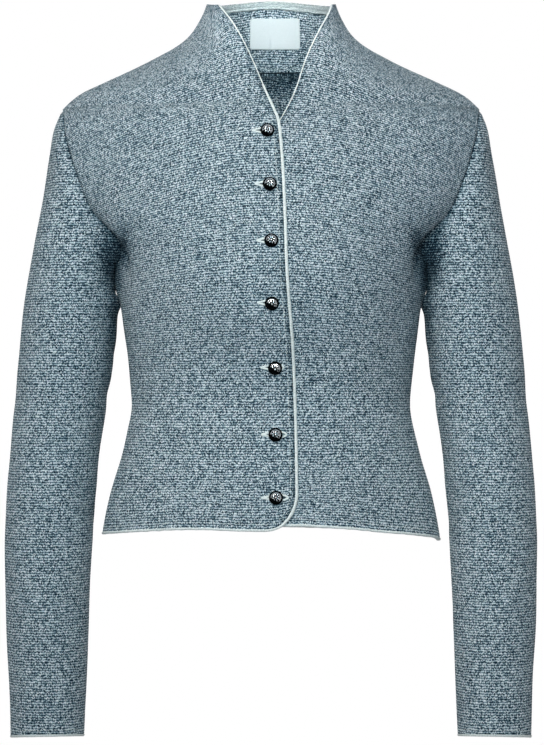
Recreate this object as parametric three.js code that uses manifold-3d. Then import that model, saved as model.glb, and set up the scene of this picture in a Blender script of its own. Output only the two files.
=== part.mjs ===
// A fitted trachten cardigan in felted knit, worn and empty: two fronts with a grown-on stand collar,
// a back, a back collar, two set-in sleeves, pale knitted edging, seven domed buttons and a neck label.
// Millimetres. X points to the wearer's left, Y to the wearer's back, Z up.
// The origin is at the base of the neck, midway between the shoulder seams, where the wearer holds it.
import * as THREE from "three";
import Module from "manifold-3d";
import { mergeVertices } from "three/addons/utils/BufferGeometryUtils.js";

// Driving sizes
const RIGHT = -1;
const LEFT = 1;
const DEGREE = Math.PI / 180;
const cloth = { wall: 2.5, seam: 0.4, overlapLift: 1.8 };
const edging = { width: 3.8, thick: 3.3, gap: 0.3, end: 0.6, flat: 0.7, lip: 0.35, sharpest: 0.6 };
const band = { height: 7.5, thick: 1.6, gap: 0.8, short: 1.5 };
const armhole = { top: -53, bottom: -205, depth: 52, steps: 10 };
const corner = { across: 29.5, roundness: 2.4, top: -418 };
const overlap = { full: 30, faded: 62, fadeTop: -34, fullTop: -62 };
const hollow = { angle: 74, spread: 11, z: -180, reach: 28, depth: 9 };
const collar = { frontTop: 44, sideTop: 48, backTop: 59, sideBase: 5, backBase: -10, steps: 5 };
const button = { radius: 6.5, height: 5.2, shankRadius: 1.1, stand: 0.5, sides: 10 };
const hole = { left: 12.5, right: 3, height: 2.8, depth: 12 };
const label = { x: 4, z: 27.5, width: 51, height: 29.5, thick: 0.8, gap: 0.8 };
const columns = { front: 10, back: 18, collar: 18, band: 28, sleeve: 20, label: 6 };

// Level sections of the worn body, from the hem to the top of the collar: half the width, the depth to
// the front and to the back, and how square the section is, where 2 is an ellipse.
const TORSO = [
  { z: -470, half: 163.5, front: 110, back: 117, square: 2.1 },
  { z: -448, half: 160, front: 106, back: 113, square: 2.1 },
  { z: -420, half: 153.5, front: 102, back: 106, square: 2.1 },
  { z: -385, half: 143, front: 97, back: 95, square: 2.1 },
  { z: -350, half: 136, front: 94, back: 85, square: 2.1 },
  { z: -326, half: 134.5, front: 95, back: 82, square: 2.1 },
  { z: -293, half: 137.3, front: 103, back: 84, square: 2.1 },
  { z: -262, half: 141.5, front: 115, back: 89, square: 2.12 },
  { z: -235, half: 144.2, front: 123, back: 94, square: 2.15 },
  { z: -218, half: 146, front: 126, back: 98, square: 2.17 },
  { z: -205, half: 149, front: 126.5, back: 101, square: 2.18 },
  { z: -190, half: 156, front: 125, back: 104, square: 2.18 },
  { z: -158, half: 182, front: 119, back: 109, square: 2.18 },
  { z: -129, half: 199, front: 112, back: 111, square: 2.16 },
  { z: -105, half: 210, front: 105, back: 110, square: 2.12 },
  { z: -80, half: 213, front: 98, back: 106, square: 2.06 },
  { z: -60, half: 205, front: 91.3, back: 100.2, square: 2 },
  { z: -53, half: 200, front: 88.7, back: 97.8, square: 2 },
  { z: -39, half: 184, front: 83.4, back: 92.6, square: 2 },
  { z: -28, half: 161, front: 79, back: 88.2, square: 2 },
  { z: -16, half: 135, front: 74.4, back: 83.4, square: 2 },
  { z: -5, half: 113, front: 70.5, back: 79.3, square: 2 },
  { z: 7, half: 91, front: 66.6, back: 75.7, square: 2 },
  { z: 18, half: 78, front: 63.5, back: 73, square: 2 },
  { z: 30, half: 70, front: 61, back: 71, square: 2 },
  { z: 41, half: 64.5, front: 59, back: 70, square: 2 },
  { z: 60, half: 58, front: 57, back: 70, square: 2 },
];

// Rings of a sleeve from the armhole to the cuff. Each spans its outer line, which runs down from the
// shoulder, and its inner line, which runs down from the underarm.
const SLEEVE = [
  { down: 53, out: 200, inDown: 205, in: 149, depth: 52, mid: 0 },
  { down: 72, out: 207.5, inDown: 207, in: 149.5, depth: 53, mid: 0.5 },
  { down: 95, out: 211.8, inDown: 210.5, in: 149.7, depth: 54, mid: 1 },
  { down: 120, out: 216.5, inDown: 214.5, in: 149.7, depth: 55, mid: 1.5 },
  { down: 150, out: 222, inDown: 219.5, in: 149.5, depth: 55.5, mid: 2 },
  { down: 180, out: 227.3, inDown: 226, in: 149.2, depth: 56, mid: 3 },
  { down: 215, out: 233.3, inDown: 236, in: 148.7, depth: 55.5, mid: 4 },
  { down: 250, out: 238.4, inDown: 255, in: 148, depth: 54.5, mid: 5 },
  { down: 293, out: 243, inDown: 293, in: 150.5, depth: 52.5, mid: 7 },
  { down: 339, out: 246.9, inDown: 339, in: 158.5, depth: 50, mid: 8 },
  { down: 385, out: 251, inDown: 385, in: 165.5, depth: 48, mid: 7 },
  { down: 420, out: 254, inDown: 420, in: 168, depth: 46.5, mid: 4.5 },
  { down: 466, out: 255.4, inDown: 466, in: 171, depth: 44.5, mid: -1 },
  { down: 512, out: 254.5, inDown: 512, in: 173.2, depth: 42.5, mid: -8 },
  { down: 546, out: 253, inDown: 546, in: 174, depth: 41, mid: -13.5 },
  { down: 592, out: 250, inDown: 592, in: 175.2, depth: 39, mid: -21 },
  { down: 649, out: 247.2, inDown: 649, in: 177.5, depth: 36, mid: -31 },
];
const cuff = { tilt: 4.2, tiltFrom: 300, bowEnd: 155 };

// Where the middle of each front's edging runs, seen from the front.
const RIGHT_EDGE = [
  { z: -418, x: 23.9 },
  { z: -349, x: 22.6 },
  { z: -282, x: 20 },
  { z: -216, x: 14.8 },
  { z: -138, x: 12 },
  { z: -92, x: 9.2 },
  { z: -70, x: 6.4 },
  { z: -58, x: 1.8 },
  { z: -36, x: -7.4 },
  { z: -2, x: -21.8 },
  { z: 27, x: -37.1 },
  { z: 46, x: -50.5 },
];
const LEFT_EDGE = [
  { z: -418, x: -15 },
  { z: -282, x: -12.5 },
  { z: -138, x: -12 },
  { z: -112, x: -10 },
  { z: -90, x: -4 },
  { z: -68, x: 9.4 },
  { z: -43, x: 22.2 },
  { z: -10, x: 33.2 },
  { z: 20, x: 46.6 },
  { z: 44.5, x: 58.8 },
];

// The line that the buttons lie on, the centre of the front.
const BUTTONS = [
  { z: -81, x: -3.2 },
  { z: -131.5, x: -1 },
  { z: -184, x: 0.4 },
  { z: -240.5, x: 0.9 },
  { z: -300, x: 3.8 },
  { z: -363, x: 4.2 },
  { z: -421.5, x: 4.6 },
];

// Half the section of a button, from the rim of its underside to its top, as shares of its radius and
// height.
const BUTTON_DOME = [
  { out: 0.8, up: 0 },
  { out: 1, up: 0.2 },
  { out: 0.97, up: 0.36 },
  { out: 0.8, up: 0.62 },
  { out: 0.48, up: 0.9 },
  { out: 0, up: 1 },
];

// How low the hem hangs, round the body: degrees from the centre front, towards the wearer's left.
const HEM = [
  { turn: -180, z: -460 },
  { turn: -90, z: -461 },
  { turn: -68, z: -458.5 },
  { turn: -45, z: -454.4 },
  { turn: -25, z: -452.2 },
  { turn: -6, z: -453.6 },
  { turn: 2, z: -453 },
  { turn: 8, z: -448.5 },
  { turn: 15, z: -449.5 },
  { turn: 29, z: -452.4 },
  { turn: 44, z: -456.3 },
  { turn: 64, z: -461 },
  { turn: 90, z: -467 },
  { turn: 130, z: -462 },
  { turn: 180, z: -460 },
];
const hem = { level: -455, fadedAt: -385, levelUnder: 8 };

// Heights of the rows of knit that the grids follow, below the armhole and above the shoulder tip.
const CORNER_ROWS = [1.2, 4, 9];
const BODY_ROWS = [-437, -423, -405, -385, -362, -338, -313, -289, -267, -246, -225];
const SHOULDER_ROWS = [-45, -36, -27, -18, -9, -2];
const COLLAR_ROWS = [12, 21, 29, 37, 45];

// Helpers on numbers and tables

// A smooth curve through two columns of a table, where the first column rises or falls throughout.
function curve(table, key, value) {
  const rows = [...table].sort((a, b) => a[key] - b[key]);
  const last = rows.length - 1;
  const slopes = rows.map((_, i) => {
    const before = rows[Math.max(i - 1, 0)];
    const after = rows[Math.min(i + 1, last)];
    return (after[value] - before[value]) / (after[key] - before[key]);
  });
  return (at) => {
    const i = Math.max(0, Math.min(last - 1, rows.findLastIndex((row) => row[key] <= at)));
    const step = rows[i + 1][key] - rows[i][key];
    const t = Math.max(0, Math.min(1, (at - rows[i][key]) / step));
    const rise = rows[i + 1][value] - rows[i][value];
    const start = slopes[i] * step;
    const end = slopes[i + 1] * step;
    return rows[i][value] + start * t + (3 * rise - 2 * start - end) * t ** 2 + (start + end - 2 * rise) * t ** 3;
  };
}

const mix = (from, to, share) => from + (to - from) * share;
const fade = (from, to, at) => THREE.MathUtils.smoothstep((at - from) / (to - from), 0, 1);
const bell = (away) => Math.exp(-(away ** 2));

const torso = {
  half: curve(TORSO, "z", "half"),
  front: curve(TORSO, "z", "front"),
  back: curve(TORSO, "z", "back"),
  square: curve(TORSO, "z", "square"),
};
const sleeve = {
  out: curve(SLEEVE, "down", "out"),
  inner: curve(SLEEVE, "down", "in"),
  innerDown: curve(SLEEVE, "down", "inDown"),
  depth: curve(SLEEVE, "down", "depth"),
  mid: curve(SLEEVE, "down", "mid"),
};
const rightEdge = curve(RIGHT_EDGE, "z", "x");
const leftEdge = curve(LEFT_EDGE, "z", "x");
const buttonLine = curve(BUTTONS, "z", "x");
const hemHeight = curve(HEM, "turn", "z");

// The worn form that the body panels lie on

// The soft fold in front of each armhole, as a depth below the form.
function armpitFold(angle, z) {
  const turn = Math.abs(angle) / DEGREE;
  return hollow.depth * bell((turn - hollow.angle) / hollow.spread) * bell((z - hollow.z) / hollow.reach);
}

// A point of the cloth's outer face. The angle is 0 at the centre front and grows to the wearer's left.
function formPoint(angle, z) {
  const across = Math.sin(angle);
  const along = Math.cos(angle);
  const power = 2 / torso.square(z);
  const depth = along > 0 ? torso.front(z) : torso.back(z);
  const x = torso.half(z) * Math.sign(across) * Math.abs(across) ** power;
  const y = -depth * Math.sign(along) * Math.abs(along) ** power;
  const share = 1 - armpitFold(angle, z) / Math.hypot(x, y);
  return new THREE.Vector3(x * share, y * share, z);
}

// The same point with the direction that faces away from the body.
function onForm(angle, z) {
  const turn = 0.01;
  const rise = 0.6;
  const round = formPoint(angle + turn, z).sub(formPoint(angle - turn, z));
  const up = formPoint(angle, z + rise).sub(formPoint(angle, z - rise));
  return { p: formPoint(angle, z), n: round.cross(up).normalize() };
}

function angleAt(x, z) {
  return Math.sign(x) * Math.asin(Math.min(1, Math.abs(x) / torso.half(z)) ** (torso.square(z) / 2));
}

const armholeMiddle = (armhole.top + armhole.bottom) / 2;
const armholeReach = (armhole.top - armhole.bottom) / 2;

// How far round the body a panel reaches at this height: to the side or shoulder seam, or to the armhole.
function seamAngle(z, depth, squareness) {
  const level = (z - armholeMiddle) / armholeReach;
  if (Math.abs(level) >= 1) return 90 * DEGREE;
  const forward = armhole.depth * Math.sqrt(1 - level ** 2);
  return Math.acos((forward / depth) ** (squareness / 2));
}

// Grids of cloth

// The rows from the hem to the shoulder tip that all body panels share.
const armholeRows = Array.from({ length: armhole.steps + 1 }, (_, i) => {
  return armholeMiddle - armholeReach * Math.cos((Math.PI * i) / armhole.steps);
});
const hemRow = hem.level + edging.width + edging.gap;
const backRows = [hemRow, ...BODY_ROWS, ...armholeRows, ...SHOULDER_ROWS, collar.sideBase];
const frontRows = [hemRow, ...CORNER_ROWS.map((up) => hemRow + up), ...backRows.slice(1), ...COLLAR_ROWS];

// Rows near the hem bend down with it.
function followHem(z, angle) {
  const bent = fade(hem.fadedAt, hem.level, z);
  return z + (hemHeight(angle / DEGREE) - hem.level) * bent;
}

// The top of the collar, and the height of the neck seam on the back, round the neck.
function collarTop(angle) {
  const turn = Math.abs(angle);
  const front = mix(collar.frontTop, collar.sideTop, fade(50 * DEGREE, 90 * DEGREE, turn));
  return mix(front, collar.backTop, fade(90 * DEGREE, 180 * DEGREE, turn));
}

function neckSeam(angle) {
  return mix(collar.sideBase, collar.backBase, Math.sin(Math.abs(angle) - 90 * DEGREE));
}

// How far a front is lifted off the form, or pressed below it, where the two fronts overlap.
function overlapLift(x, z, side) {
  const away = side * (x - buttonLine(z));
  const near = 1 - fade(overlap.full, overlap.faded, away);
  return -side * cloth.overlapLift * near * (1 - fade(overlap.fullTop, overlap.fadeTop, z));
}

// The front edge at this height, with its rounded lower corner.
function edgeX(z, side) {
  const inset = side * (edging.width / 2 + edging.gap);
  const line = side === RIGHT ? rightEdge : leftEdge;
  if (z >= corner.top) return line(z) + inset;
  const foot = hemRow;
  const fall = Math.min(1, (corner.top - z) / (corner.top - foot));
  const out = (1 - fall ** corner.roundness) ** (1 / corner.roundness);
  return line(corner.top) + inset + side * corner.across * (1 - out);
}

// Half the gap of a seam at this height, as an angle.
function seamInset(z) {
  return cloth.seam / 2 / Math.min(torso.front(z), torso.back(z));
}

// A front: column 0 is its free edge, the last column its side seam, armhole and shoulder seam.
function frontGrid(side) {
  return frontRows.map((row) => {
    const start = angleAt(edgeX(row, side), row);
    const end = side * (seamAngle(row, torso.front(row), torso.square(row)) - seamInset(row));
    return Array.from({ length: columns.front + 1 }, (_, i) => {
      const angle = mix(start, end, i / columns.front);
      const topRow = frontRows.at(-1);
      const rise = (collarTop(angle) - topRow) * fade(collar.sideBase, topRow, row);
      const hemAngle = side === LEFT ? Math.max(angle, hem.levelUnder * DEGREE) : angle;
      const z = followHem(row, hemAngle) + rise;
      const { p, n } = onForm(angle, z);
      p.addScaledVector(n, overlapLift(p.x, z, side));
      return { p, n };
    });
  });
}

// The back: from the wearer's left side seam round to the right one, up to the neck seam.
function backGrid() {
  return backRows.map((row) => {
    const start = Math.PI - seamAngle(row, torso.back(row), torso.square(row)) + seamInset(row);
    const risen = Math.max(0, (row - armhole.top) / (collar.sideBase - armhole.top));
    return Array.from({ length: columns.back + 1 }, (_, i) => {
      const turn = mix(start, 2 * Math.PI - start, i / columns.back);
      const angle = turn > Math.PI ? turn - 2 * Math.PI : turn;
      const seam = neckSeam(turn) - cloth.seam / 2;
      return onForm(turn, followHem(row, angle) + (seam - collar.sideBase) * risen);
    });
  });
}

// The back collar: from the left neck point round to the right one.
function collarGrid() {
  const inset = seamInset(collar.sideTop);
  return Array.from({ length: collar.steps + 1 }, (_, j) => {
    return Array.from({ length: columns.collar + 1 }, (_, i) => {
      const turn = mix(90 * DEGREE + inset, 270 * DEGREE - inset, i / columns.collar);
      const angle = turn > Math.PI ? 2 * Math.PI - turn : turn;
      const low = neckSeam(turn) + cloth.seam / 2;
      return onForm(turn, mix(low, collarTop(angle), j / collar.steps));
    });
  });
}

// The band inside the top of the collar, from the left front's corner round the back to the right one's.
function bandGrid() {
  return [band.height, 0].map((drop) => {
    const row = collar.frontTop - drop;
    const start = angleAt(edgeX(row, LEFT) + band.short, row);
    const end = 2 * Math.PI + angleAt(edgeX(row, RIGHT) - band.short, row);
    return Array.from({ length: columns.band + 1 }, (_, i) => {
      const turn = mix(start, end, i / columns.band);
      const angle = turn > Math.PI ? 2 * Math.PI - turn : turn;
      const { p, n } = onForm(turn, collarTop(angle) - drop);
      return { p: p.addScaledVector(n, -cloth.wall - band.gap), n };
    });
  });
}

// A sleeve's rings. The first lies in the armhole, and the next ones fan out round the underarm.
function sleeveGrid(side) {
  const around = Array.from({ length: columns.sleeve }, (_, i) => (2 * Math.PI * i) / columns.sleeve);
  const seam = around.map((turn) => armholePoint(turn, side));
  const lower = SLEEVE.slice(1).map(({ down }) => around.map((turn) => sleevePoint(turn, down, side)));
  const rings = withNormals([seam.map(({ p }) => p.clone()), ...lower], side);
  rings[0].forEach(({ p, n }, i) => {
    const { inward } = seam[i];
    const lean = n.dot(inward);
    if (lean > 0) n.addScaledVector(inward, -lean).normalize();
    const folded = Math.max(0, -n.dot(seam[i].n));
    p.addScaledVector(inward, cloth.seam).addScaledVector(seam[i].n, cloth.seam * folded);
  });
  return rings;
}

// A point of the armhole's edge, with the direction out of the cloth and the one to the armhole's middle.
// The turn is 0 at the shoulder tip and grows to the front.
function armholePoint(turn, side) {
  const z = armholeMiddle + armholeReach * Math.cos(turn);
  const inFront = Math.sin(turn) >= 0;
  const reach = seamAngle(z, inFront ? torso.front(z) : torso.back(z), torso.square(z));
  const { p, n } = onForm(side * (inFront ? reach : Math.PI - reach), z);
  const inward = new THREE.Vector3(0, Math.sin(turn) / armhole.depth, -Math.cos(turn) / armholeReach);
  inward.addScaledVector(n, -inward.dot(n)).normalize();
  return { p, n, inward };
}

// How far the armhole bows out from the straight line between its top and its bottom.
function armholeBow(turn) {
  const top = armholePoint(0, LEFT).p.x;
  const low = armholePoint(Math.PI, LEFT).p.x;
  return armholePoint(turn, LEFT).p.x - mix(low, top, (1 + Math.cos(turn)) / 2);
}

function sleevePoint(turn, down, side) {
  const top = new THREE.Vector3(sleeve.out(down), 0, -down);
  const low = new THREE.Vector3(sleeve.inner(down), 0, -sleeve.innerDown(down));
  const point = new THREE.Vector3().lerpVectors(low, top, (1 + Math.cos(turn)) / 2);
  point.y = sleeve.mid(down) - sleeve.depth(down) * Math.sin(turn);
  point.z += cuff.tilt * fade(cuff.tiltFrom, SLEEVE.at(-1).down, down) * Math.sin(turn);
  point.x += armholeBow(turn) * (1 - fade(-armhole.top, cuff.bowEnd, down));
  point.x *= side;
  return point;
}

// Directions away from the arm for rings of bare points, from their neighbours.
function withNormals(rings, side) {
  const at = (j) => rings[Math.max(0, Math.min(rings.length - 1, j))];
  return rings.map((ring, j) => ring.map((p, i) => {
    const count = ring.length;
    const round = ring[(i + 1) % count].clone().sub(ring[(i + count - 1) % count]);
    const along = at(j + 1)[i].clone().sub(at(j - 1)[i]);
    return { p, n: round.cross(along).normalize().multiplyScalar(side) };
  }));
}

// Solids

function meshGeometry(points, triangles) {
  const geometry = new THREE.BufferGeometry();
  geometry.setAttribute("position", new THREE.Float32BufferAttribute(points.flatMap((p) => p.toArray()), 3));
  geometry.setIndex(triangles.flat());
  return geometry;
}

// Turns the triangles so that the solid's faces point outwards.
function facingOut(points, triangles) {
  const volume = triangles.reduce((sum, [a, b, c]) => {
    return sum + points[a].dot(points[b].clone().cross(points[c]));
  }, 0);
  return volume > 0 ? triangles : triangles.map(([a, b, c]) => [a, c, b]);
}

// A wall of cloth: the grid's points are its outer face. A ring's rows close on themselves. Each
// quadrilateral of the grid is split along its shorter diagonal, on both faces alike.
function wallOf(grid, thick = cloth.wall, ring = false) {
  const across = grid[0].length;
  const count = grid.length * across;
  const outer = grid.flat().map(({ p }) => p.clone());
  const inner = grid.flat().map(({ p, n }) => p.clone().addScaledVector(n, -thick));
  const triangles = [];
  const quad = (a, b, c, d) => triangles.push([a, b, c], [a, c, d]);
  const spans = ring ? across : across - 1;
  const panel = (a, b, c, d) => {
    const bent = outer[a].distanceToSquared(outer[c]) > outer[b].distanceToSquared(outer[d]);
    const [e, f, g, h] = bent ? [b, c, d, a] : [a, b, c, d];
    quad(e, f, g, h);
    quad(g + count, f + count, e + count, h + count);
  };
  for (let j = 0; j < grid.length; j += 1) {
    for (let i = 0; i < spans; i += 1) {
      const here = j * across + i;
      const beside = j * across + ((i + 1) % across);
      if (j < grid.length - 1) panel(here, beside, beside + across, here + across);
      if (j === 0) quad(here, here + count, beside + count, beside);
      if (j === grid.length - 1) quad(here, beside, beside + count, here + count);
    }
    if (ring || j === grid.length - 1) continue;
    const first = j * across;
    const last = first + across - 1;
    quad(first, first + across, first + across + count, first + count);
    quad(last, last + count, last + across + count, last + across);
  }
  const points = [...outer, ...inner];
  return meshGeometry(points, facingOut(points, triangles));
}

// A strip of edging along the free edge of a wall. Each place of the path gives the wall's outer face
// and its normal; `side` is 1 if the strip lies to the right of the path.
function stripAlong(path, side, closed = false) {
  const half = edging.thick / 2;
  const count = path.length;
  const at = (i) => path[closed ? (i + count) % count : Math.max(0, Math.min(count - 1, i))];
  const { width } = edging;
  const points = path.flatMap(({ p, n, inside }, i) => {
    const before = p.clone().sub(at(i - 1).p);
    const after = at(i + 1).p.clone().sub(p);
    if (before.lengthSq() === 0) before.copy(after);
    if (after.lengthSq() === 0) after.copy(before);
    const first = before.cross(n).normalize().multiplyScalar(side);
    const out = after.cross(n).normalize().multiplyScalar(side).add(first);
    if (inside) out.subVectors(p, inside.p).addScaledVector(n, -out.dot(n));
    out.normalize().divideScalar(Math.max(edging.sharpest, out.dot(first)));
    const middle = p.clone().addScaledVector(n, -cloth.wall / 2);
    const section = [
      [edging.gap, half],
      [edging.gap + edging.flat * width, half],
      [edging.gap + width, edging.lip * half],
      [edging.gap + width, -edging.lip * half],
      [edging.gap + edging.flat * width, -half],
      [edging.gap, -half],
    ];
    return section.map(([away, up]) => middle.clone().addScaledVector(out, away).addScaledVector(n, up));
  });
  const sides = 6;
  const triangles = [];
  for (let i = 0; i < (closed ? count : count - 1); i += 1) {
    for (let k = 0; k < sides; k += 1) {
      const a = i * sides + k;
      const b = i * sides + ((k + 1) % sides);
      const c = ((i + 1) % count) * sides + ((k + 1) % sides);
      const d = ((i + 1) % count) * sides + k;
      triangles.push([a, b, c], [a, c, d]);
    }
  }
  if (!closed) {
    const last = (count - 1) * sides;
    for (let k = 1; k < sides - 1; k += 1) triangles.push([0, k + 1, k], [last, last + k, last + k + 1]);
  }
  return meshGeometry(points, facingOut(points, triangles));
}

// A path whose ends are cut along the lines from these neighbours inside the wall, or else square.
function withEnds(path, firstInside, lastInside) {
  const first = { ...path[0], inside: firstInside };
  const last = { ...path.at(-1), inside: lastInside };
  return [first, ...path.slice(1, -1), last];
}

// A front's edging: along the hem from the side seam, round the corner and up to the collar's corner.
function frontEdging(grid, side) {
  const edge = grid.map((row) => row[0]);
  const top = edge.pop();
  const end = { ...top, p: edge.at(-1).p.clone().lerp(top.p, edging.end) };
  return stripAlong(withEnds([...grid[0].slice(1).reverse(), ...edge, end], grid[1].at(-1)), side);
}

// A domed metal button on a shank, turned about the direction that it faces.
function buttonGeometry(shank) {
  const { radius, height, shankRadius } = button;
  const stem = [[0, -shank], [shankRadius, -shank], [shankRadius, 0]];
  const dome = BUTTON_DOME.map(({ out, up }) => [out * radius, up * height]);
  const profile = [...stem, ...dome].map(([x, y]) => new THREE.Vector2(x, y));
  return new THREE.LatheGeometry(profile, button.sides);
}

// The place on the right front where a button lies, with the directions along and across its buttonhole.
function buttonPlace({ x, z }) {
  const { p, n } = onForm(angleAt(x, z), z);
  p.addScaledVector(n, overlapLift(x, z, RIGHT));
  const across = new THREE.Vector3(1, 0, 0).addScaledVector(n, -n.x).normalize();
  return { p, n, turn: new THREE.Matrix4().makeBasis(across, n, across.clone().cross(n)) };
}

// The slit that a button's shank goes through, as a block with round ends.
function slitGeometry() {
  const end = hole.height / 2;
  const shape = new THREE.Shape();
  shape.absarc(hole.right - end, 0, end, -Math.PI / 2, Math.PI / 2);
  shape.absarc(end - hole.left, 0, end, Math.PI / 2, (3 * Math.PI) / 2);
  const options = { depth: hole.depth, bevelEnabled: false, curveSegments: 3 };
  return new THREE.ExtrudeGeometry(shape, options).translate(0, 0, -hole.depth / 2).rotateX(-Math.PI / 2);
}

const wasm = await Module();
wasm.setup();

function solidOf(geometry) {
  const bare = geometry.clone();
  bare.deleteAttribute("normal");
  bare.deleteAttribute("uv");
  const merged = mergeVertices(bare, 1e-3);
  const vertProperties = new Float32Array(merged.attributes.position.array);
  const triVerts = new Uint32Array(merged.index.array);
  return new wasm.Manifold(new wasm.Mesh({ numProp: 3, vertProperties, triVerts }));
}

function geometryOf(solid) {
  const mesh = solid.getMesh();
  const geometry = new THREE.BufferGeometry();
  geometry.setAttribute("position", new THREE.BufferAttribute(mesh.vertProperties, 3));
  geometry.setIndex(new THREE.BufferAttribute(mesh.triVerts, 1));
  return geometry;
}

function withButtonholes(geometry) {
  const slits = BUTTONS.map((place) => {
    const { p, turn } = buttonPlace(place);
    return solidOf(slitGeometry().applyMatrix4(turn.setPosition(p)));
  });
  return geometryOf(slits.reduce((solid, slit) => solid.subtract(slit), solidOf(geometry)));
}

// The label on the inside of the back collar, made from the collar's form.
function labelGeometry() {
  const rows = [-0.5, 0, 0.5].map((share) => label.z + share * label.height);
  const grid = rows.map((z) => Array.from({ length: columns.label + 1 }, (_, i) => {
    const x = label.x + label.width * (i / columns.label - 0.5);
    const { p, n } = onForm(Math.PI - angleAt(x, z), z);
    p.addScaledVector(n, -cloth.wall - label.gap);
    return { p, n };
  }));
  return wallOf(grid, label.thick);
}

// The garment

const felt = new THREE.MeshStandardMaterial({ name: "felt", color: 0x7f98a6, roughness: 0.95 });
const trim = new THREE.MeshStandardMaterial({ name: "trim", color: 0xdfe4e0, roughness: 0.95 });
const metal = new THREE.MeshStandardMaterial({ name: "metal", color: 0x6b6a66, roughness: 0.35, metalness: 1 });
const woven = new THREE.MeshStandardMaterial({ name: "woven", color: 0xeeeeec, roughness: 0.7 });

const garment = new THREE.Group();

function add(name, geometry, material) {
  const mesh = new THREE.Mesh(geometry, material);
  mesh.name = name;
  garment.add(mesh);
  return mesh;
}

function addFronts() {
  const right = frontGrid(RIGHT);
  const left = frontGrid(LEFT);
  add("front_right", withButtonholes(wallOf(right)), felt);
  add("front_left", wallOf(left), felt);
  add("edging_front_right", frontEdging(right, 1), trim);
  add("edging_front_left", frontEdging(left, -1), trim);
}

function addBack() {
  const back = backGrid();
  add("back", wallOf(back), felt);
  add("collar_back", wallOf(collarGrid()), felt);
  add("edging_hem_back", stripAlong(withEnds(back[0], back[1][0], back[1].at(-1)), 1), trim);
  add("band_collar", wallOf(bandGrid(), band.thick), trim);
  add("label", labelGeometry(), woven);
}

function addSleeve(name, side) {
  const grid = sleeveGrid(side);
  add(`sleeve_${name}`, wallOf(grid, cloth.wall, true), felt);
  add(`edging_cuff_${name}`, stripAlong(grid.at(-1), -side, true), trim);
}

function addButtons() {
  const shank = 2 * cloth.overlapLift + button.stand - edging.gap;
  BUTTONS.forEach((place, i) => {
    const mesh = add(`button_${i + 1}`, buttonGeometry(shank), metal);
    const { p, n, turn } = buttonPlace(place);
    mesh.position.copy(p).addScaledVector(n, button.stand);
    mesh.quaternion.setFromRotationMatrix(turn);
  });
}

addFronts();
addBack();
addSleeve("right", RIGHT);
addSleeve("left", LEFT);
addButtons();

export default garment;
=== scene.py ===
# %% [markdown]
# # A trachten cardigan in felted knit
# This notebook dresses a plain solid model of a short fitted cardigan. The solid model has the cut
# pieces as walls 2.5 mm thick: two fronts with half of the stand collar grown on, a back, a back collar,
# two sleeves, the pale edging, seven buttons and a label. Here each piece is made again as cloth, on
# the same worn form, with its seams, folds, stitches, knit and sheen.

import bmesh
import bpy
import numpy as np
from mathutils import Matrix, Vector


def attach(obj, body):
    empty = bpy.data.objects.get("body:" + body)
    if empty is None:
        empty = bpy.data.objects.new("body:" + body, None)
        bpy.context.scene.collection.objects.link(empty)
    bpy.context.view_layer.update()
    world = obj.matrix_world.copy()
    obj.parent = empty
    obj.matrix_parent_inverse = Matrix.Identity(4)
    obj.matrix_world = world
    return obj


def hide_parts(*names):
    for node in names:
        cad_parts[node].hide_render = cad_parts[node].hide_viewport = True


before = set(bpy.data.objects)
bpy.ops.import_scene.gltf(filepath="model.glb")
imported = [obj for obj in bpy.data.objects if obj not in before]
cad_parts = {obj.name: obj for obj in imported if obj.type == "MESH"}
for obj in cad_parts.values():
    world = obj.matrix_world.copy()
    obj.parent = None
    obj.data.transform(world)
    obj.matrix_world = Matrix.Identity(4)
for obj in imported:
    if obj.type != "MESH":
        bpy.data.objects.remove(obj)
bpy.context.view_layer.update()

# %% [markdown]
# ## Camera
# The photograph looks straight at the front from chest height, as a catalogue picture does. It could be
# matched by eye, but the cardigan has measurable ends, so the lens follows from them: the picture's
# height, 745 pixels, covers 715 mm at a distance of 3 m. X is to the wearer's left, Y to the
# wearer's back and Z up, and the base of the neck is the origin.

# %% Camera
MM = 0.001


def add_object(name, data):
    """A new object, put into the scene."""
    made = bpy.data.objects.new(name, data)
    bpy.context.scene.collection.objects.link(made)
    return made


camera_data = bpy.data.cameras.new("camera")
camera_data.sensor_fit = "VERTICAL"
camera_data.sensor_height = 36
camera_data.lens = 36 * 3000 / 715.2
camera_data.clip_end = 100
camera = add_object("camera", camera_data)
camera.location = Vector((1, -3000, -305)) * MM
camera.rotation_euler = (np.pi / 2, 0, 0)
bpy.context.scene.camera = camera
print("lens", round(camera_data.lens, 1), "mm")

# %% [markdown]
# ## The worn form
# A knitted garment could be sewn together and simulated on a dress form. Here the photograph gives the
# shape directly, and the solid model already follows it, so the same tables are used: level sections
# of the body, rings of the sleeve, and the lines of the front edges, buttons and hem, in millimetres.

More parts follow.
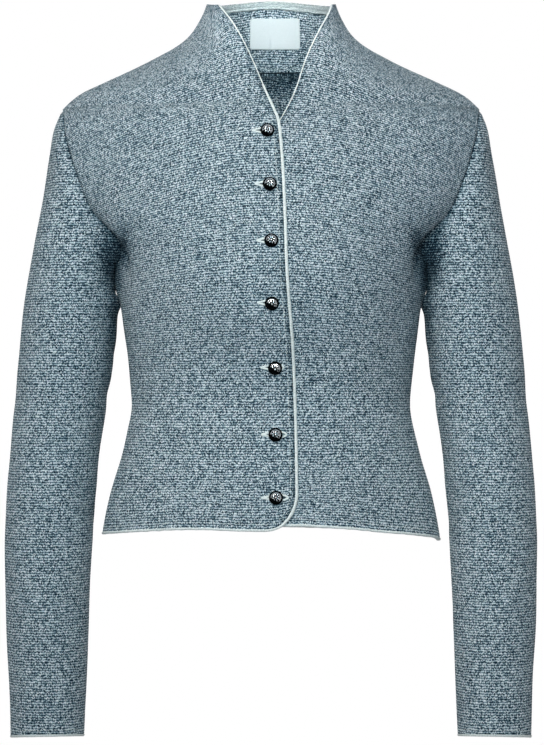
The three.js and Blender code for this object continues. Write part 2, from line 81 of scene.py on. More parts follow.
# %% Tables of the worn form
# Height, half the width, depth to the front, depth to the back, squareness (2 is an ellipse)
TORSO = [
    (-470, 163.5, 110, 117, 2.1), (-448, 160, 106, 113, 2.1), (-420, 153.5, 102, 106, 2.1),
    (-385, 143, 97, 95, 2.1), (-350, 136, 94, 85, 2.1), (-326, 134.5, 95, 82, 2.1),
    (-293, 137.3, 103, 84, 2.1), (-262, 141.5, 115, 89, 2.12), (-235, 144.2, 123, 94, 2.15),
    (-218, 146, 126, 98, 2.17), (-205, 149, 126.5, 101, 2.18), (-190, 156, 125, 104, 2.18),
    (-158, 182, 119, 109, 2.18), (-129, 199, 112, 111, 2.16), (-105, 210, 105, 110, 2.12),
    (-80, 213, 98, 106, 2.06), (-60, 205, 91.3, 100.2, 2), (-53, 200, 88.7, 97.8, 2),
    (-39, 184, 83.4, 92.6, 2), (-28, 161, 79, 88.2, 2), (-16, 135, 74.4, 83.4, 2),
    (-5, 113, 70.5, 79.3, 2), (7, 91, 66.6, 75.7, 2), (18, 78, 63.5, 73, 2),
    (30, 70, 61, 71, 2), (41, 64.5, 59, 70, 2), (60, 58, 57, 70, 2),
]
# Distance down the arm, outer line, inner line's distance down, inner line, depth, middle
SLEEVE = [
    (53, 200, 205, 149, 52, 0), (72, 207.5, 207, 149.5, 53, 0.5), (95, 211.8, 210.5, 149.7, 54, 1),
    (120, 216.5, 214.5, 149.7, 55, 1.5), (150, 222, 219.5, 149.5, 55.5, 2), (180, 227.3, 226, 149.2, 56, 3),
    (215, 233.3, 236, 148.7, 55.5, 4), (250, 238.4, 255, 148, 54.5, 5), (293, 243, 293, 150.5, 52.5, 7),
    (339, 246.9, 339, 158.5, 50, 8), (385, 251, 385, 165.5, 48, 7), (420, 254, 420, 168, 46.5, 4.5),
    (466, 255.4, 466, 171, 44.5, -1), (512, 254.5, 512, 173.2, 42.5, -8), (546, 253, 546, 174, 41, -13.5),
    (592, 250, 592, 175.2, 39, -21), (649, 247.2, 649, 177.5, 36, -31),
]
RIGHT_EDGE = [
    (-418, 23.9), (-349, 22.6), (-282, 20), (-216, 14.8), (-138, 12), (-92, 9.2), (-70, 6.4),
    (-58, 1.8), (-36, -7.4), (-2, -21.8), (27, -37.1), (46, -50.5),
]
LEFT_EDGE = [
    (-418, -15), (-282, -12.5), (-138, -12), (-112, -10), (-90, -4), (-68, 9.4), (-43, 22.2),
    (-10, 33.2), (20, 46.6), (44.5, 58.8),
]
BUTTONS = [
    (-81, -3.2), (-131.5, -1), (-184, 0.4), (-240.5, 0.9), (-300, 3.8), (-363, 4.2), (-421.5, 4.6),
]
# Degrees round the body, height of the hem
HEM = [
    (-180, -460), (-90, -461), (-68, -458.5), (-45, -454.4), (-25, -452.2), (-6, -453.6), (2, -453),
    (8, -448.5), (15, -449.5), (29, -452.4), (44, -456.3), (64, -461), (90, -467), (130, -462), (180, -460),
]
print(len(TORSO), "sections of the body and", len(SLEEVE), "rings of the sleeve")

# %% [markdown]
# A table is read through smooth curves, and everything works on whole arrays of points at once, because
# a cloth of 10,000 points would take minutes one point at a time.

# %% Curves through the tables
def curve(table, column):
    """A smooth curve through a column of a table, against its first column."""
    rows = np.array(sorted((row[0], row[column]) for row in table), float)
    x, y = rows.T
    last = len(x) - 1
    before = np.maximum(np.arange(last + 1) - 1, 0)
    after = np.minimum(np.arange(last + 1) + 1, last)
    slopes = (y[after] - y[before]) / (x[after] - x[before])

    def at(value):
        value = np.asarray(value, float)
        i = np.clip(np.searchsorted(x, value, side="right") - 1, 0, last - 1)
        step = x[i + 1] - x[i]
        t = np.clip((value - x[i]) / step, 0, 1)
        rise = y[i + 1] - y[i]
        start, end = slopes[i] * step, slopes[i + 1] * step
        return y[i] + start * t + (3 * rise - 2 * start - end) * t**2 + (start + end - 2 * rise) * t**3

    return at


def fade(start, end, at):
    """0 before start, 1 after end and smooth between them."""
    t = np.clip((np.asarray(at, float) - start) / (end - start), 0, 1)
    return t * t * (3 - 2 * t)


def mix(start, end, share):
    return start + (end - start) * share


def bell(away):
    return np.exp(-(np.asarray(away, float) ** 2))


def length(vectors):
    return np.linalg.norm(vectors, axis=-1, keepdims=True)


half, front, back, square = (curve(TORSO, column) for column in (1, 2, 3, 4))
arm_out, arm_in_down, arm_in = (curve(SLEEVE, column) for column in (1, 2, 3))
arm_depth, arm_middle = (curve(SLEEVE, column) for column in (4, 5))
edge_line = {-1: curve(RIGHT_EDGE, 1), 1: curve(LEFT_EDGE, 1)}
button_line = curve(BUTTONS, 1)
hem_height = curve(HEM, 1)
print("waist is", round(2 * float(half(-340))), "mm wide")

# %% [markdown]
# The form itself takes an angle, 0 at the centre front and growing to the wearer's left, and a height. A
# superellipse gives the level section, which is a little squarer than an ellipse, as a chest is. The
# hollow in front of each armhole belongs to the form.

# %% The form of the body
def from_front(angle):
    """Degrees between an angle and the centre front, on either side."""
    return np.degrees(np.abs((angle + np.pi) % (2 * np.pi) - np.pi))


def armpit_fold(angle, z):
    return 9 * bell((from_front(angle) - 74) / 11) * bell((z + 180) / 28)


def form(angle, z):
    across, along = np.sin(angle), np.cos(angle)
    power = 2 / square(z)
    depth = np.where(along > 0, front(z), back(z))
    x = half(z) * np.sign(across) * np.abs(across) ** power
    y = -depth * np.sign(along) * np.abs(along) ** power
    share = 1 - armpit_fold(angle, z) / np.hypot(x, y)
    return np.stack([x * share, y * share, z + 0 * x], -1)


def on_form(angle, z):
    """Points of the form, and the directions that face away from the body."""
    around = form(angle + 0.01, z) - form(angle - 0.01, z)
    up = form(angle, z + 0.6) - form(angle, z - 0.6)
    away = np.cross(around, up)
    return form(angle, z), away / length(away)


def angle_at(x, z):
    return np.sign(x) * np.arcsin(np.minimum(1, np.abs(x) / half(z)) ** (square(z) / 2))


print("centre front at chest height:", np.round(form(0.0, -218.0)), "mm")

# %% [markdown]
# ## Where the panels end
# On paper a front is bounded by its free edge, hem, side seam, armhole and shoulder seam. On the form
# these are an angle for each height. The armhole is an ellipse seen from the side.

# %% Seams and edges of the panels
ARM_TOP, ARM_BOTTOM, ARM_DEPTH = -53, -205, 52
ARM_MIDDLE, ARM_REACH = (ARM_TOP + ARM_BOTTOM) / 2, (ARM_TOP - ARM_BOTTOM) / 2
HEM_LEVEL, HEM_FADED = -455, -385
EDGING_GAP = 0.3
EDGING_WIDE, EDGING_NARROW, EDGING_HALF = 3.8, 1.9, 1.75
NECK_SIDE, NECK_BACK = 5, -10
CORNER_TOP, CORNER_ACROSS, CORNER_ROUND = -418, 29.5, 2.4
FILLED = 0.42
FOOT = HEM_LEVEL + EDGING_WIDE * (1 - FILLED) + EDGING_GAP
COLLAR_ROW = 45
OVERLAP = 1.8


def seam_angle(z, depth):
    """How far round the body a panel reaches: to the side or shoulder seam, or to the armhole."""
    level = np.clip((z - ARM_MIDDLE) / ARM_REACH, -1, 1)
    forward = ARM_DEPTH * np.sqrt(1 - level**2)
    return np.arccos((forward / depth) ** (square(z) / 2))


def follow_hem(z, angle):
    return z + (hem_height(np.degrees(angle)) - HEM_LEVEL) * fade(HEM_FADED, HEM_LEVEL, z)


def collar_top(angle):
    turn = from_front(angle)
    return mix(mix(44, 48, fade(50, 90, turn)), 59, fade(90, 180, turn))


def neck_seam(turn):
    return mix(NECK_SIDE, NECK_BACK, np.sin(np.clip(turn - np.pi / 2, 0, np.pi)))


def edging_width(z, side):
    """The piping turns its narrow side to the front as it climbs the collar."""
    narrow = fade(-75, -20, z) if side < 0 else fade(-120, -90, z)
    return mix(EDGING_WIDE, EDGING_NARROW, narrow)


def edging_half(z, side):
    """Half the edging's thickness, which is less on the collar."""
    broad = (edging_width(z, side) - EDGING_NARROW) / (EDGING_WIDE - EDGING_NARROW)
    return mix(0.95, EDGING_HALF, broad)


def edge_x(z, side):
    inset = side * (edging_width(z, side) * (0.5 - FILLED) + EDGING_GAP)
    fall = np.clip((CORNER_TOP - z) / (CORNER_TOP - FOOT), 0, 1)
    out = (1 - fall**CORNER_ROUND) ** (1 / CORNER_ROUND)
    return edge_line[side](np.maximum(z, CORNER_TOP)) + inset + side * CORNER_ACROSS * (1 - out)


def overlap_lift(x, z, side):
    """The right front lies on the left one, so one is lifted off the form and the other pressed in."""
    near = 1 - fade(30, 62, side * (x - button_line(z)))
    return -side * OVERLAP * near * (1 - fade(-62, -34, z))


print("front edge at the top button:", round(float(edge_x(-81, -1)), 1), "mm from the middle")

# %% [markdown]
# ## Soft folds
# Felted knit is thick and springy, so it makes few folds, and they are wide and shallow. Each is
# written as a place, a direction, a length, a width and a depth, and pushes the cloth in or out. A
# simulation would invent its own folds; this way they lie where the photograph shows them. The back
# gets similar ones that nobody photographed.

# %% Folds of the body
# Degrees round the body, height, tilt of the fold in degrees from upright, half length, half width, depth
BODY_FOLDS = [
    (-70, -190, -14, 21, 13, 8), (70, -191, 14, 21, 13, 8), (-88, -220.5, 0, 15.5, 18, -4.6),
    (88, -220.5, 0, 15.5, 18, -4.6), (-52, -262, -38, 44, 12, 1.6), (54, -258, 34, 40, 12, 1.5),
    (-70, -330, -74, 40, 16, 2.2), (66, -338, 70, 44, 17, 2),
    (-58, -372, -62, 46, 15, -1.8), (58, -380, 60, 42, 15, -1.6), (-34, -120, -36, 52, 17, 1.3),
    (36, -116, 38, 50, 18, 1.2), (-44, -440, 8, 40, 20, 2.2), (38, -445, -6, 38, 22, 2),
    (72, -440, 4, 36, 17, -2), (-76, -438, -3, 36, 18, -2), (150, -330, 66, 54, 15, 2.4),
    (-148, -336, -64, 52, 16, 2.2), (132, -290, 48, 48, 14, -1.6), (-130, -296, -50, 46, 15, -1.5),
    (180, -388, 88, 60, 17, 1.8), (112, -210, 20, 40, 12, 2.6), (-112, -214, -22, 42, 12, 2.6),
    (160, -120, 18, 60, 22, 1.6), (-160, -126, -16, 58, 24, 1.6), (148, -440, -5, 40, 20, 2.4),
    (-150, -442, 5, 42, 22, 2.2), (180, -446, 0, 38, 20, -2), (104, -352, 62, 38, 14, 1.8),
    (-104, -356, -60, 38, 14, 1.8), (-120, 20, -40, 16, 9, 0.8), (122, 24, 40, 16, 9, 0.8),
]
chance = np.random.default_rng(7)
SWELLS = [
    (chance.uniform(60, 150), chance.uniform(0, np.pi), chance.uniform(0, 2 * np.pi)) for _ in range(7)
]


def swells(across, up, amount):
    """A faint unevenness, the same on each run: long waves in seven directions."""
    total = 0 * across
    for wave, heading, phase in SWELLS:
        along = across * np.cos(heading) + up * np.sin(heading)
        total = total + np.sin(along * 2 * np.pi / wave + phase)
    return amount * total / len(SWELLS) ** 0.5


def folded(push, table, turn, along, girth):
    """The push with a table of folds added, at a turn in degrees and a distance along the cloth."""
    for place, middle, tilt, reach, width, depth in table:
        across = ((turn - place + 180) % 360 - 180) * girth
        lean = np.radians(tilt)
        beside = across * np.cos(lean) + (along - middle) * np.sin(lean)
        beyond = (along - middle) * np.cos(lean) - across * np.sin(lean)
        push = push - depth * bell(beside / width) * bell(beyond / reach)
    return push


def folds(angle, z):
    """How far the cloth is pushed off the form."""
    turn = (np.degrees(angle) + 180) % 360 - 180
    girth = 0.5 * (half(z) + front(z)) * np.pi / 180
    return folded(swells(turn * girth, z, 0.35), BODY_FOLDS, turn, z, girth)


print(len(BODY_FOLDS), "folds, the deepest", max(row[-1] for row in BODY_FOLDS), "mm")

# %% [markdown]
# ## Cloth from a grid
# A panel is a flat rectangle of mesh squares that is moved on to the form. `bmesh.ops.create_grid` makes
# the squares, and the form says where each corner goes. Two things travel with it: a UV map in real
# metres, along which the yarn will run, and a painted shade from 0 to 1, which darkens the felt at seams,
# free edges and armpits. The points also carry a small sink beside each seam, where the sewing pulls the
# cloth in. Solidify then gives the felt its thickness, inwards.

# %% A grid that becomes cloth
CLOTH = 2.2


def facing(points):
    """Directions square to a grid of points."""
    away = np.cross(np.gradient(points, axis=1), np.gradient(points, axis=0))
    return away / np.maximum(length(away), 1e-9)


SEAM_DEPTH, SEAM_REACH = 2.0, 4.2
# Width and share of the painted shade at a seam and of the painted shadow beside a free edge
SEAM_PAINTED_SHADE, EDGE_PAINTED_SHADOW = (1.4, 0.8), (1.4, 0.5)


def sink(points, away, seams):
    """The points, pressed in beside the seams, which are first or last columns or rows."""
    borders = {
        "first": points[:, :1], "last": points[:, -1:], "bottom": points[:1], "top": points[-1:],
    }
    pressed_in_and_painted_shade = 0 * points[..., :1]
    for seam in seams:
        near = np.clip(1 - length(points - borders[seam]) / SEAM_REACH, 0, 1)
        pressed_in_and_painted_shade = np.maximum(pressed_in_and_painted_shade, near**1.7)
    return points - away * SEAM_DEPTH * pressed_in_and_painted_shade


def painted_shade_at(points, borders, spots=0):
    """From 0 to 1, how much painted shade the felt gets: beside borders (with width and share) and at
    spots.
    """
    total = spots + 0 * points[..., 0]
    for border, wide, share in borders:
        total = np.maximum(total, share * bell(length(points - border)[..., 0] / wide))
    return np.clip(total, 0, 1)


def travelled(points, axis):
    """The distance gone along the rows or columns of a grid."""
    steps = length(np.diff(points, axis=axis))[..., 0]
    start = np.zeros_like(np.take(steps, [0], axis=axis))
    return np.concatenate([start, np.cumsum(steps, axis=axis)], axis=axis)


def mesh_from(name, bm):
    """A mesh of what bmesh has built."""
    mesh = bpy.data.meshes.new(name)
    bm.to_mesh(mesh)
    bm.free()
    return mesh


def mesh_of(name, points, yarn, middle, closed=False, painted_shade=None):
    """An object from a grid of points in millimetres, facing away from its middle."""
    if painted_shade is None:
        painted_shade = 0 * points[..., 0]
    if (facing(points) * (points - middle)).sum() < 0:
        points, yarn, painted_shade = points[:, ::-1], yarn[:, ::-1], painted_shade[:, ::-1]
    rows, columns = points.shape[0] - 1, points.shape[1] - 1
    bm = bmesh.new()
    bmesh.ops.create_grid(bm, x_segments=columns, y_segments=rows, size=0.5)
    run = bm.loops.layers.uv.new("yarn")
    flat = np.array([v.co[:2] for v in bm.verts]) + 0.5
    column, row = np.rint(flat * [columns, rows]).astype(int).T
    for face in bm.faces:
        for loop in face.loops:
            k = loop.vert.index
            loop[run].uv = yarn[row[k], column[k]] * MM
    # Painted shade: each point keeps how much darker its felt is drawn, as a float attribute.
    pressed_in_and_painted_shade = bm.verts.layers.float.new("painted_shade")
    for vert, place, share in zip(bm.verts, points[row, column] * MM, painted_shade[row, column]):
        vert.co = place
        vert[pressed_in_and_painted_shade] = share
    if closed:
        ends = [v for v, c in zip(bm.verts, column) if c in (0, columns)]
        bmesh.ops.remove_doubles(bm, verts=ends, dist=1e-6)
    for face in bm.faces:
        face.smooth = True
    return add_object(name, mesh_from(name, bm))


def sealed(piece):
    """Joins points that lie on one another, where a finished grid meets itself."""
    bm = bmesh.new()
    bm.from_mesh(piece.data)
    bmesh.ops.remove_doubles(bm, verts=bm.verts, dist=1e-6)
    bm.to_mesh(piece.data)
    bm.free()
    return piece


def thicken(piece, thick):
    wall = piece.modifiers.new("thickness", "SOLIDIFY")
    wall.thickness = thick * MM
    wall.offset = -1
    wall.use_even_offset = False
    return piece


def measured(piece):
    """The cloth's area in square metres, without its thickness."""
    return sum(face.area for face in piece.data.polygons)


print("felt is", CLOTH, "mm thick")

# %% [markdown]
# ## The two fronts
# Each front is one piece from the hem to the top of the stand collar. Its rows lie closer together where
# an outline turns sharply, at the rounded corner and at the top and bottom of the armhole. The knitted
# rows are level at the centre and droop towards the armhole, as they do in the photograph, because the
# shoulder slopes and the knit is cut straight.

# %% Rows of the panels
near_hem = FOOT + 0.05 * np.arange(0, 31) ** 2
body_rows = np.linspace(near_hem[-1], ARM_BOTTOM, 60)
arm_rows = ARM_MIDDLE - ARM_REACH * np.cos(np.linspace(0, np.pi, 49))
shoulder_rows = np.linspace(ARM_TOP, NECK_SIDE, 18)
back_rows = np.concatenate([near_hem, body_rows[1:], arm_rows[1:], shoulder_rows[1:]])
front_rows = np.concatenate([back_rows, np.linspace(NECK_SIDE, COLLAR_ROW, 14)[1:]])
print(len(front_rows), "rows up a front and", len(back_rows), "up the back")


# %% The fronts
def knit_height(z, turn):
    """How far up the cloth a height is, along the form at this many degrees round the body."""
    heights = np.arange(-480.0, 80.0)
    path = form(np.radians(turn) + 0 * heights, heights)
    return np.interp(z, heights, travelled(path[:, None], 0)[:, 0])


def knitted_up(points, rows, turn):
    """Rows lie level up to the chest; above it every line keeps its own length over the shoulder."""
    level = knit_height(rows, turn)[:, None]
    own = travelled(points, 0)
    chest = np.searchsorted(rows, -120)
    return np.where(rows[:, None] < rows[chest], level, level[chest] + own - own[chest])


def droop(points, slope):
    """Rows of knit sink outwards above the waist."""
    x, z = points[..., 0], points[..., 2]
    return slope * x**2 / 2 * fade(-330, -70, z)


def front_points(side):
    row = front_rows[:, None]
    share = 1 - (1 - np.linspace(0, 1, 65)[None]) ** 1.5
    start = angle_at(edge_x(row, side), row)
    end = side * seam_angle(row, front(row))
    angle = mix(start, end, share)
    turned = np.maximum(angle, np.radians(8)) if side > 0 else angle
    rise = (collar_top(angle) - COLLAR_ROW) * fade(NECK_SIDE, COLLAR_ROW, row)
    z = follow_hem(row + 0 * share, turned) + rise
    points, away = on_form(angle, z)
    calm = fade(0, 26, length(points - points[:, :1]))[..., 0]
    push = overlap_lift(points[..., 0], z, side) + folds(angle, z) * mix(0.3, 1, calm)
    points = points + away * push[..., None]
    return sink(points, away, ["last"]), away


def front_yarn(points, side):
    across = side * travelled(points, 1) + points[:, :1, 0]
    up = knitted_up(points, front_rows, 25) + droop(points, 0.0036)
    return np.stack([across, up], -1)


def underarm_painted_shade(points):
    """Painted shade for the pocket of cloth in front of and behind each armpit, where no light comes."""
    x, z = np.abs(points[..., 0]), points[..., 2]
    pocket = bell((x - 141 + 0.25 * (z + 190)) / 9) * bell((z + 188) / 19)
    return 0.95 * np.maximum(pocket, bell((x - 147) / 5) * bell((z + 212) / 22))


knit = {}
grids = {}


def panel(name, points, away, yarn, middle, painted_groove_shade, closed=False):
    """Keeps a panel's grid for its edging and makes its cloth."""
    grids[name] = (points, away)
    knit[name] = mesh_of("knit_" + name, points, yarn, middle, closed, painted_groove_shade)
    thicken(knit[name], CLOTH)
    print(name, "has", round(measured(knit[name]), 4), "square metres of cloth")


for name, side in (("front_right", -1), ("front_left", 1)):
    points, away = front_points(side)
    # Painted shade along the side seam and armhole, painted shadow beside the free edge, painted shade in
    # the armpits
    lines = [(points[:, -1:], *SEAM_PAINTED_SHADE), (points[:, :1], *EDGE_PAINTED_SHADOW)]
    painted_groove_shade = painted_shade_at(points, lines, underarm_painted_shade(points))
    panel(name, points, away, front_yarn(points, side), points * [0, 0, 1], painted_groove_shade)

# %% [markdown]
# ## Back and back collar
# The back is one piece with a rounded neck. The back half of the stand collar is sewn to it and to the
# ends of the front collars.

# %% The back and the back collar
def back_points():
    row = back_rows[:, None]
    step = np.linspace(-1, 1, 111)[None]
    share = 0.5 + 0.5 * np.sign(step) * (1 - (1 - np.abs(step)) ** 1.5)
    start = np.pi - seam_angle(row, back(row))
    turn = mix(start, 2 * np.pi - start, share)
    angle = np.where(turn > np.pi, turn - 2 * np.pi, turn)
    risen = np.maximum(0, (row - ARM_TOP) / (NECK_SIDE - ARM_TOP))
    z = follow_hem(row + 0 * share, angle) + (neck_seam(turn) - NECK_SIDE) * risen
    points, away = on_form(turn, z)
    points = points + away * folds(turn, z)[..., None]
    return sink(points, away, ["first", "last", "top"]), away


def collar_points():
    turn = np.linspace(np.pi / 2, 3 * np.pi / 2, 61)[None]
    share = np.linspace(0, 1, 24)[:, None] ** 1.2
    z = mix(neck_seam(turn), collar_top(turn), share)
    points, away = on_form(turn + 0 * z, z)
    points = points + away * folds(turn + 0 * z, z)[..., None]
    return sink(points, away, ["first", "last", "bottom"]), away


def back_yarn(points, rows, slope):
    across = travelled(points, 1)
    across = across - across[:, across.shape[1] // 2][:, None]
    up = travelled(points, 0) if rows is None else knitted_up(points, rows, 155) + droop(points, slope)
    return np.stack([across, up], -1)


def nape_painted_shade(points):
    """Painted shade under the neck seam, where the back falls away, and in the armpits, where it is tucked
    in.
    """
    below = length(points - points[-1:])[..., 0]
    middle = 1 - fade(70, 100, np.abs(points[..., 0]))
    return np.maximum(0.85 * bell(below / 23) * middle, underarm_painted_shade(points))


for name, made, rows, slope in (
    ("back", back_points(), back_rows, 0.0026), ("collar_back", collar_points(), None, 0.0),
):
    points, away = made
    # Painted shade along the seams, and on the back also under the neck seam and in the armpits
    seams = [points[:, :1], points[:, -1:], points[-1:] if name == "back" else points[:1]]
    spots = nape_painted_shade(points) if name == "back" else 0
    painted_groove_shade = painted_shade_at(points, [(seam, *SEAM_PAINTED_SHADE) for seam in seams], spots)
    panel(name, points, away, back_yarn(points, rows, slope), points * [0, 0, 1], painted_groove_shade)

# %% [markdown]
# ## Sleeves
# A sleeve is a tube whose first ring is the armhole. The rings fan out round the underarm until they lie
# across the arm. The grid's two long sides meet at the underarm seam, where the real sleeve is sewn.

# %% The sleeves
# Degrees round the arm from its outer line to the front, distance down, tilt, half length, half width
# and depth
ARM_FOLDS = [
    (150, 262, -36, 30, 8, 3), (118, 284, -48, 34, 9, -1.8), (164, 318, -60, 26, 9, 2.4),
    (90, 372, -72, 30, 13, 2), (130, 398, -64, 28, 10, -1.8), (60, 410, 74, 28, 12, 1.6),
    (150, 436, -58, 28, 10, 2.2), (96, 470, 70, 32, 15, 1.2), (40, 520, -18, 46, 12, 1.4),
    (120, 545, 14, 44, 13, 1.5), (76, 600, -10, 40, 14, 1.2), (-150, 270, 34, 32, 9, 2.6),
    (-120, 300, 46, 34, 10, 2), (-100, 380, 66, 32, 12, 2.2), (-140, 415, 60, 28, 10, 2),
    (-70, 430, -70, 30, 13, 1.8), (-110, 520, 16, 44, 13, 1.4), (-60, 590, -12, 42, 14, 1.4),
    (180, 220.5, 0, 15.5, 28, -5.6), (180, 207, 0, 7, 28, -1.2), (20, 130, 24, 36, 14, 1.2),
    (-24, 140, -20, 38, 15, 1.2), (60, 190, 12, 52, 14, 1.8), (-66, 200, -14, 50, 15, 1.8),
    (0, 330, 80, 26, 16, 0.9), (-20, 440, -80, 26, 16, 0.9),
]
# Millimetres round the arm for one degree, and how far down the arm the sleeve starts and ends
ARM_GIRTH = 0.75
SLEEVE_TOP, SLEEVE_END = 53, 649


def armhole_points(turn, side):
    """The armhole's edge before folds and seam, the way it faces, and how far folds push it."""
    z = ARM_MIDDLE + ARM_REACH * np.cos(turn)
    ahead = np.sin(turn) >= 0
    reach = seam_angle(z, np.where(ahead, front(z), back(z)))
    angle = side * np.where(ahead, reach, np.pi - reach)
    return *on_form(angle, z), folds(angle, z)


def armhole_bow(turn):
    top = armhole_points(np.array(0.0), 1)[0][0]
    low = armhole_points(np.array(np.pi), 1)[0][0]
    return armhole_points(turn, 1)[0][..., 0] - mix(low, top, (1 + np.cos(turn)) / 2)


def arm_form(turn, down, side):
    raised = (1 + np.cos(turn)) / 2
    x = mix(arm_in(down), arm_out(down), raised) + armhole_bow(turn) * (1 - fade(SLEEVE_TOP, 155, down))
    y = arm_middle(down) - arm_depth(down) * np.sin(turn)
    z = mix(-arm_in_down(down), -down, raised) + 4.2 * fade(300, SLEEVE_END, down) * np.sin(turn)
    return np.stack([side * x, y + 0 * x, z], -1)


def sleeve_points(side):
    turn = np.pi + np.linspace(0, 2 * np.pi, 97)[None]
    share = np.linspace(0, 1, 191)[:, None]
    down = SLEEVE_TOP + (SLEEVE_END + 1.2 - SLEEVE_TOP) * share**1.12
    points = arm_form(turn, down, side)
    seam, seam_away, seam_push = armhole_points(turn[0], side)
    seam = seam + seam_away * seam_push[:, None]
    points = points + (seam - points[:1]) * (1 - fade(SLEEVE_TOP, 76, down))[..., None]
    middle = points[:, :-1].mean(1, keepdims=True)
    away = facing(points)
    away = away * np.sign((away * (points - middle)).sum())
    push = swells(turn * 40, down + 900 * side, 0.3)
    push = folded(push, ARM_FOLDS, np.degrees(turn), down, ARM_GIRTH)
    push = push * fade(SLEEVE_TOP, 80, down)
    seam_turn = np.minimum(turn - np.pi, 3 * np.pi - turn) * arm_depth(down)
    push = push - 0.9 * (1 - fade(0, 3.2, seam_turn)) * fade(SLEEVE_TOP, 70, down)
    points = points + away * push[..., None]
    near = np.clip(1 - length(points - points[:1]) / SEAM_REACH, 0, 1) ** 1.7
    points = points - SEAM_DEPTH * near * mix(away, seam_away[None], near)
    points[:, -1] = points[:, 0]
    return points, away, middle


def sleeve_yarn(points):
    """Rows of knit lie across the arm, so one run goes round its middle and the other down."""
    down = np.clip(-points[..., 2], SLEEVE_TOP, SLEEVE_END)
    x = np.abs(points[..., 0]) - (arm_in(down) + arm_out(down)) / 2
    y = points[..., 1] - arm_middle(down)
    turned = np.abs(np.arctan2(y, x)) * np.where(np.arange(points.shape[1]) < 48, -1, 1)
    radius = (arm_out(down) - arm_in(down) + 2 * arm_depth(down)) / 4
    return np.stack([turned * radius, points[..., 2]], -1)


def under_sleeve_painted_shade(points):
    """Painted shade on the inner side of the arm just under the armhole."""
    down = np.clip(-points[..., 2], SLEEVE_TOP, SLEEVE_END)
    inner = (arm_out(down) - np.abs(points[..., 0])) / (arm_out(down) - arm_in(down))
    pocket = 0.95 * fade(0.74, 0.94, inner) * bell((down - 197) / 25)
    return np.maximum(pocket, 0.75 * fade(0.86, 1, inner) * bell((down - 240) / 60))


for name, side in (("sleeve_right", -1), ("sleeve_left", 1)):
    points, away, middle = sleeve_points(side)
    # Painted shade along the armhole seam and on the inner side under the arm
    painted_groove_shade = painted_shade_at(points, [(points[:1], *SEAM_PAINTED_SHADE)], under_sleeve_painted_shade(points))
    panel(name, points, away, sleeve_yarn(points), middle, painted_groove_shade, closed=True)

# %% [markdown]
# ## Buttonholes
# The slits are really cut, because the button's shank passes through them and the photograph shows the
# dark gap. A Boolean does it exactly. The cutter is a circle pulled into a drop, which is
# pointed at its outer end and held open by the shank, and extruded through the cloth.

# %% Where the buttons lie
def button_place(z, x):
    """The point of the right front under a button, the direction it faces and the buttonhole's frame."""
    points, away = on_form(angle_at(np.array(x), np.array(z)), np.array(z))
    points = points + away * overlap_lift(points[0], z, -1)
    out = Vector(away)
    across = (Vector((1, 0, 0)) - out * out.x).normalized()
    turned = Matrix((across, out.cross(across), out)).transposed().to_4x4()
    return Matrix.Translation(Vector(points) * MM) @ turned


places = [button_place(z, x) for z, x in BUTTONS]
HOLE_LEFT = [-14, -13.4, -13, -12.8, -12.8, -12.8, -13]
HOLE_RIGHT = [4.6, 4.6, 4.6, 5, 7.6, 9.8, 10.8]


def drop_outline(turn, left, right, height):
    """A drop lying on its side, pointed at the left."""
    along = (1 - np.cos(turn)) / 2
    open_by = height * np.sin(np.pi * np.abs(along) ** 0.62) ** 0.9
    return mix(right, left, along), np.sign(np.sin(turn)) * np.abs(open_by) / 2


def buttonhole_cutter():
    bm = bmesh.new()
    for place, left, right in zip(places, HOLE_LEFT, HOLE_RIGHT):
        ring = bmesh.ops.create_circle(bm, cap_ends=True, segments=28, radius=1)["verts"]
        for k, vert in enumerate(ring):
            x, y = drop_outline(2 * np.pi * (k + 0.5) / 28, left, right, 3.2)
            vert.co = place @ (Vector((x, y + 0.2, -7)) * MM)
        face = next(iter(set(ring[0].link_faces)))
        grown = bmesh.ops.extrude_face_region(bm, geom=[face])["geom"]
        top = [v for v in grown if isinstance(v, bmesh.types.BMVert)]
        bmesh.ops.translate(bm, verts=top, vec=(place.to_3x3() @ Vector((0, 0, 14))) * MM)
    bmesh.ops.recalc_face_normals(bm, faces=bm.faces)
    return add_object("cutter", mesh_from("cutter", bm))


def finished(piece):
    """Applies a piece's modifiers."""
    seen = piece.evaluated_get(bpy.context.evaluated_depsgraph_get())
    mesh = bpy.data.meshes.new_from_object(seen)
    piece.modifiers.clear()
    piece.data = mesh


cutter = buttonhole_cutter()
slits = knit["front_right"].modifiers.new("buttonholes", "BOOLEAN")
slits.operation = "DIFFERENCE"
slits.solver = "EXACT"
slits.object = cutter
before = len(knit["front_right"].data.polygons)
finished(knit["front_right"])
bpy.data.objects.remove(cutter)
print("the right front went from", before, "faces to", len(knit["front_right"].data.polygons))

# %% [markdown]
# ## Edging
# A pale knitted strip is folded over every free edge. It could be a bevelled curve, but it
# is cloth of its own, so it is made as cloth: a grid that runs along the edge and bends round it as a
# U, with its own small thickness. The width wavers a little, as felted knit does.

# %% Paths along the edges
def evenly(path, step):
    """The same path with its points an even step apart. Columns are a point and a direction."""
    gone = np.concatenate([[0], np.cumsum(np.linalg.norm(np.diff(path[:, :3], axis=0), axis=1))])
    count = max(2, int(round(gone[-1] / step)))
    at = np.linspace(0, gone[-1], count + 1)
    even = np.stack([np.interp(at, gone, column) for column in path.T], -1)
    even[:, 3:6] /= np.linalg.norm(even[:, 3:6], axis=1, keepdims=True)
    return even, at


def front_path(name):
    """Along the hem from the side seam, round the corner and up to the top of the collar."""
    points, away = grids[name]
    both = np.concatenate([points, away], -1)
    return np.concatenate([both[0, ::-1], both[1:, 0]])


def outwards(path, closed=False):
    """Directions away from the cloth, square to the path and to the direction it faces."""
    p, n = path[:, :3], path[:, 3:6]
    if closed:
        along = np.roll(p, -1, 0) - np.roll(p, 1, 0)
        along[0] = along[-1] = p[1] - p[-2]
    else:
        along = np.gradient(p, axis=0)
    out = np.cross(along, n)
    return out / length(out)


print("the edge of the right front is", round(evenly(front_path("front_right"), 2)[1][-1]), "mm long")


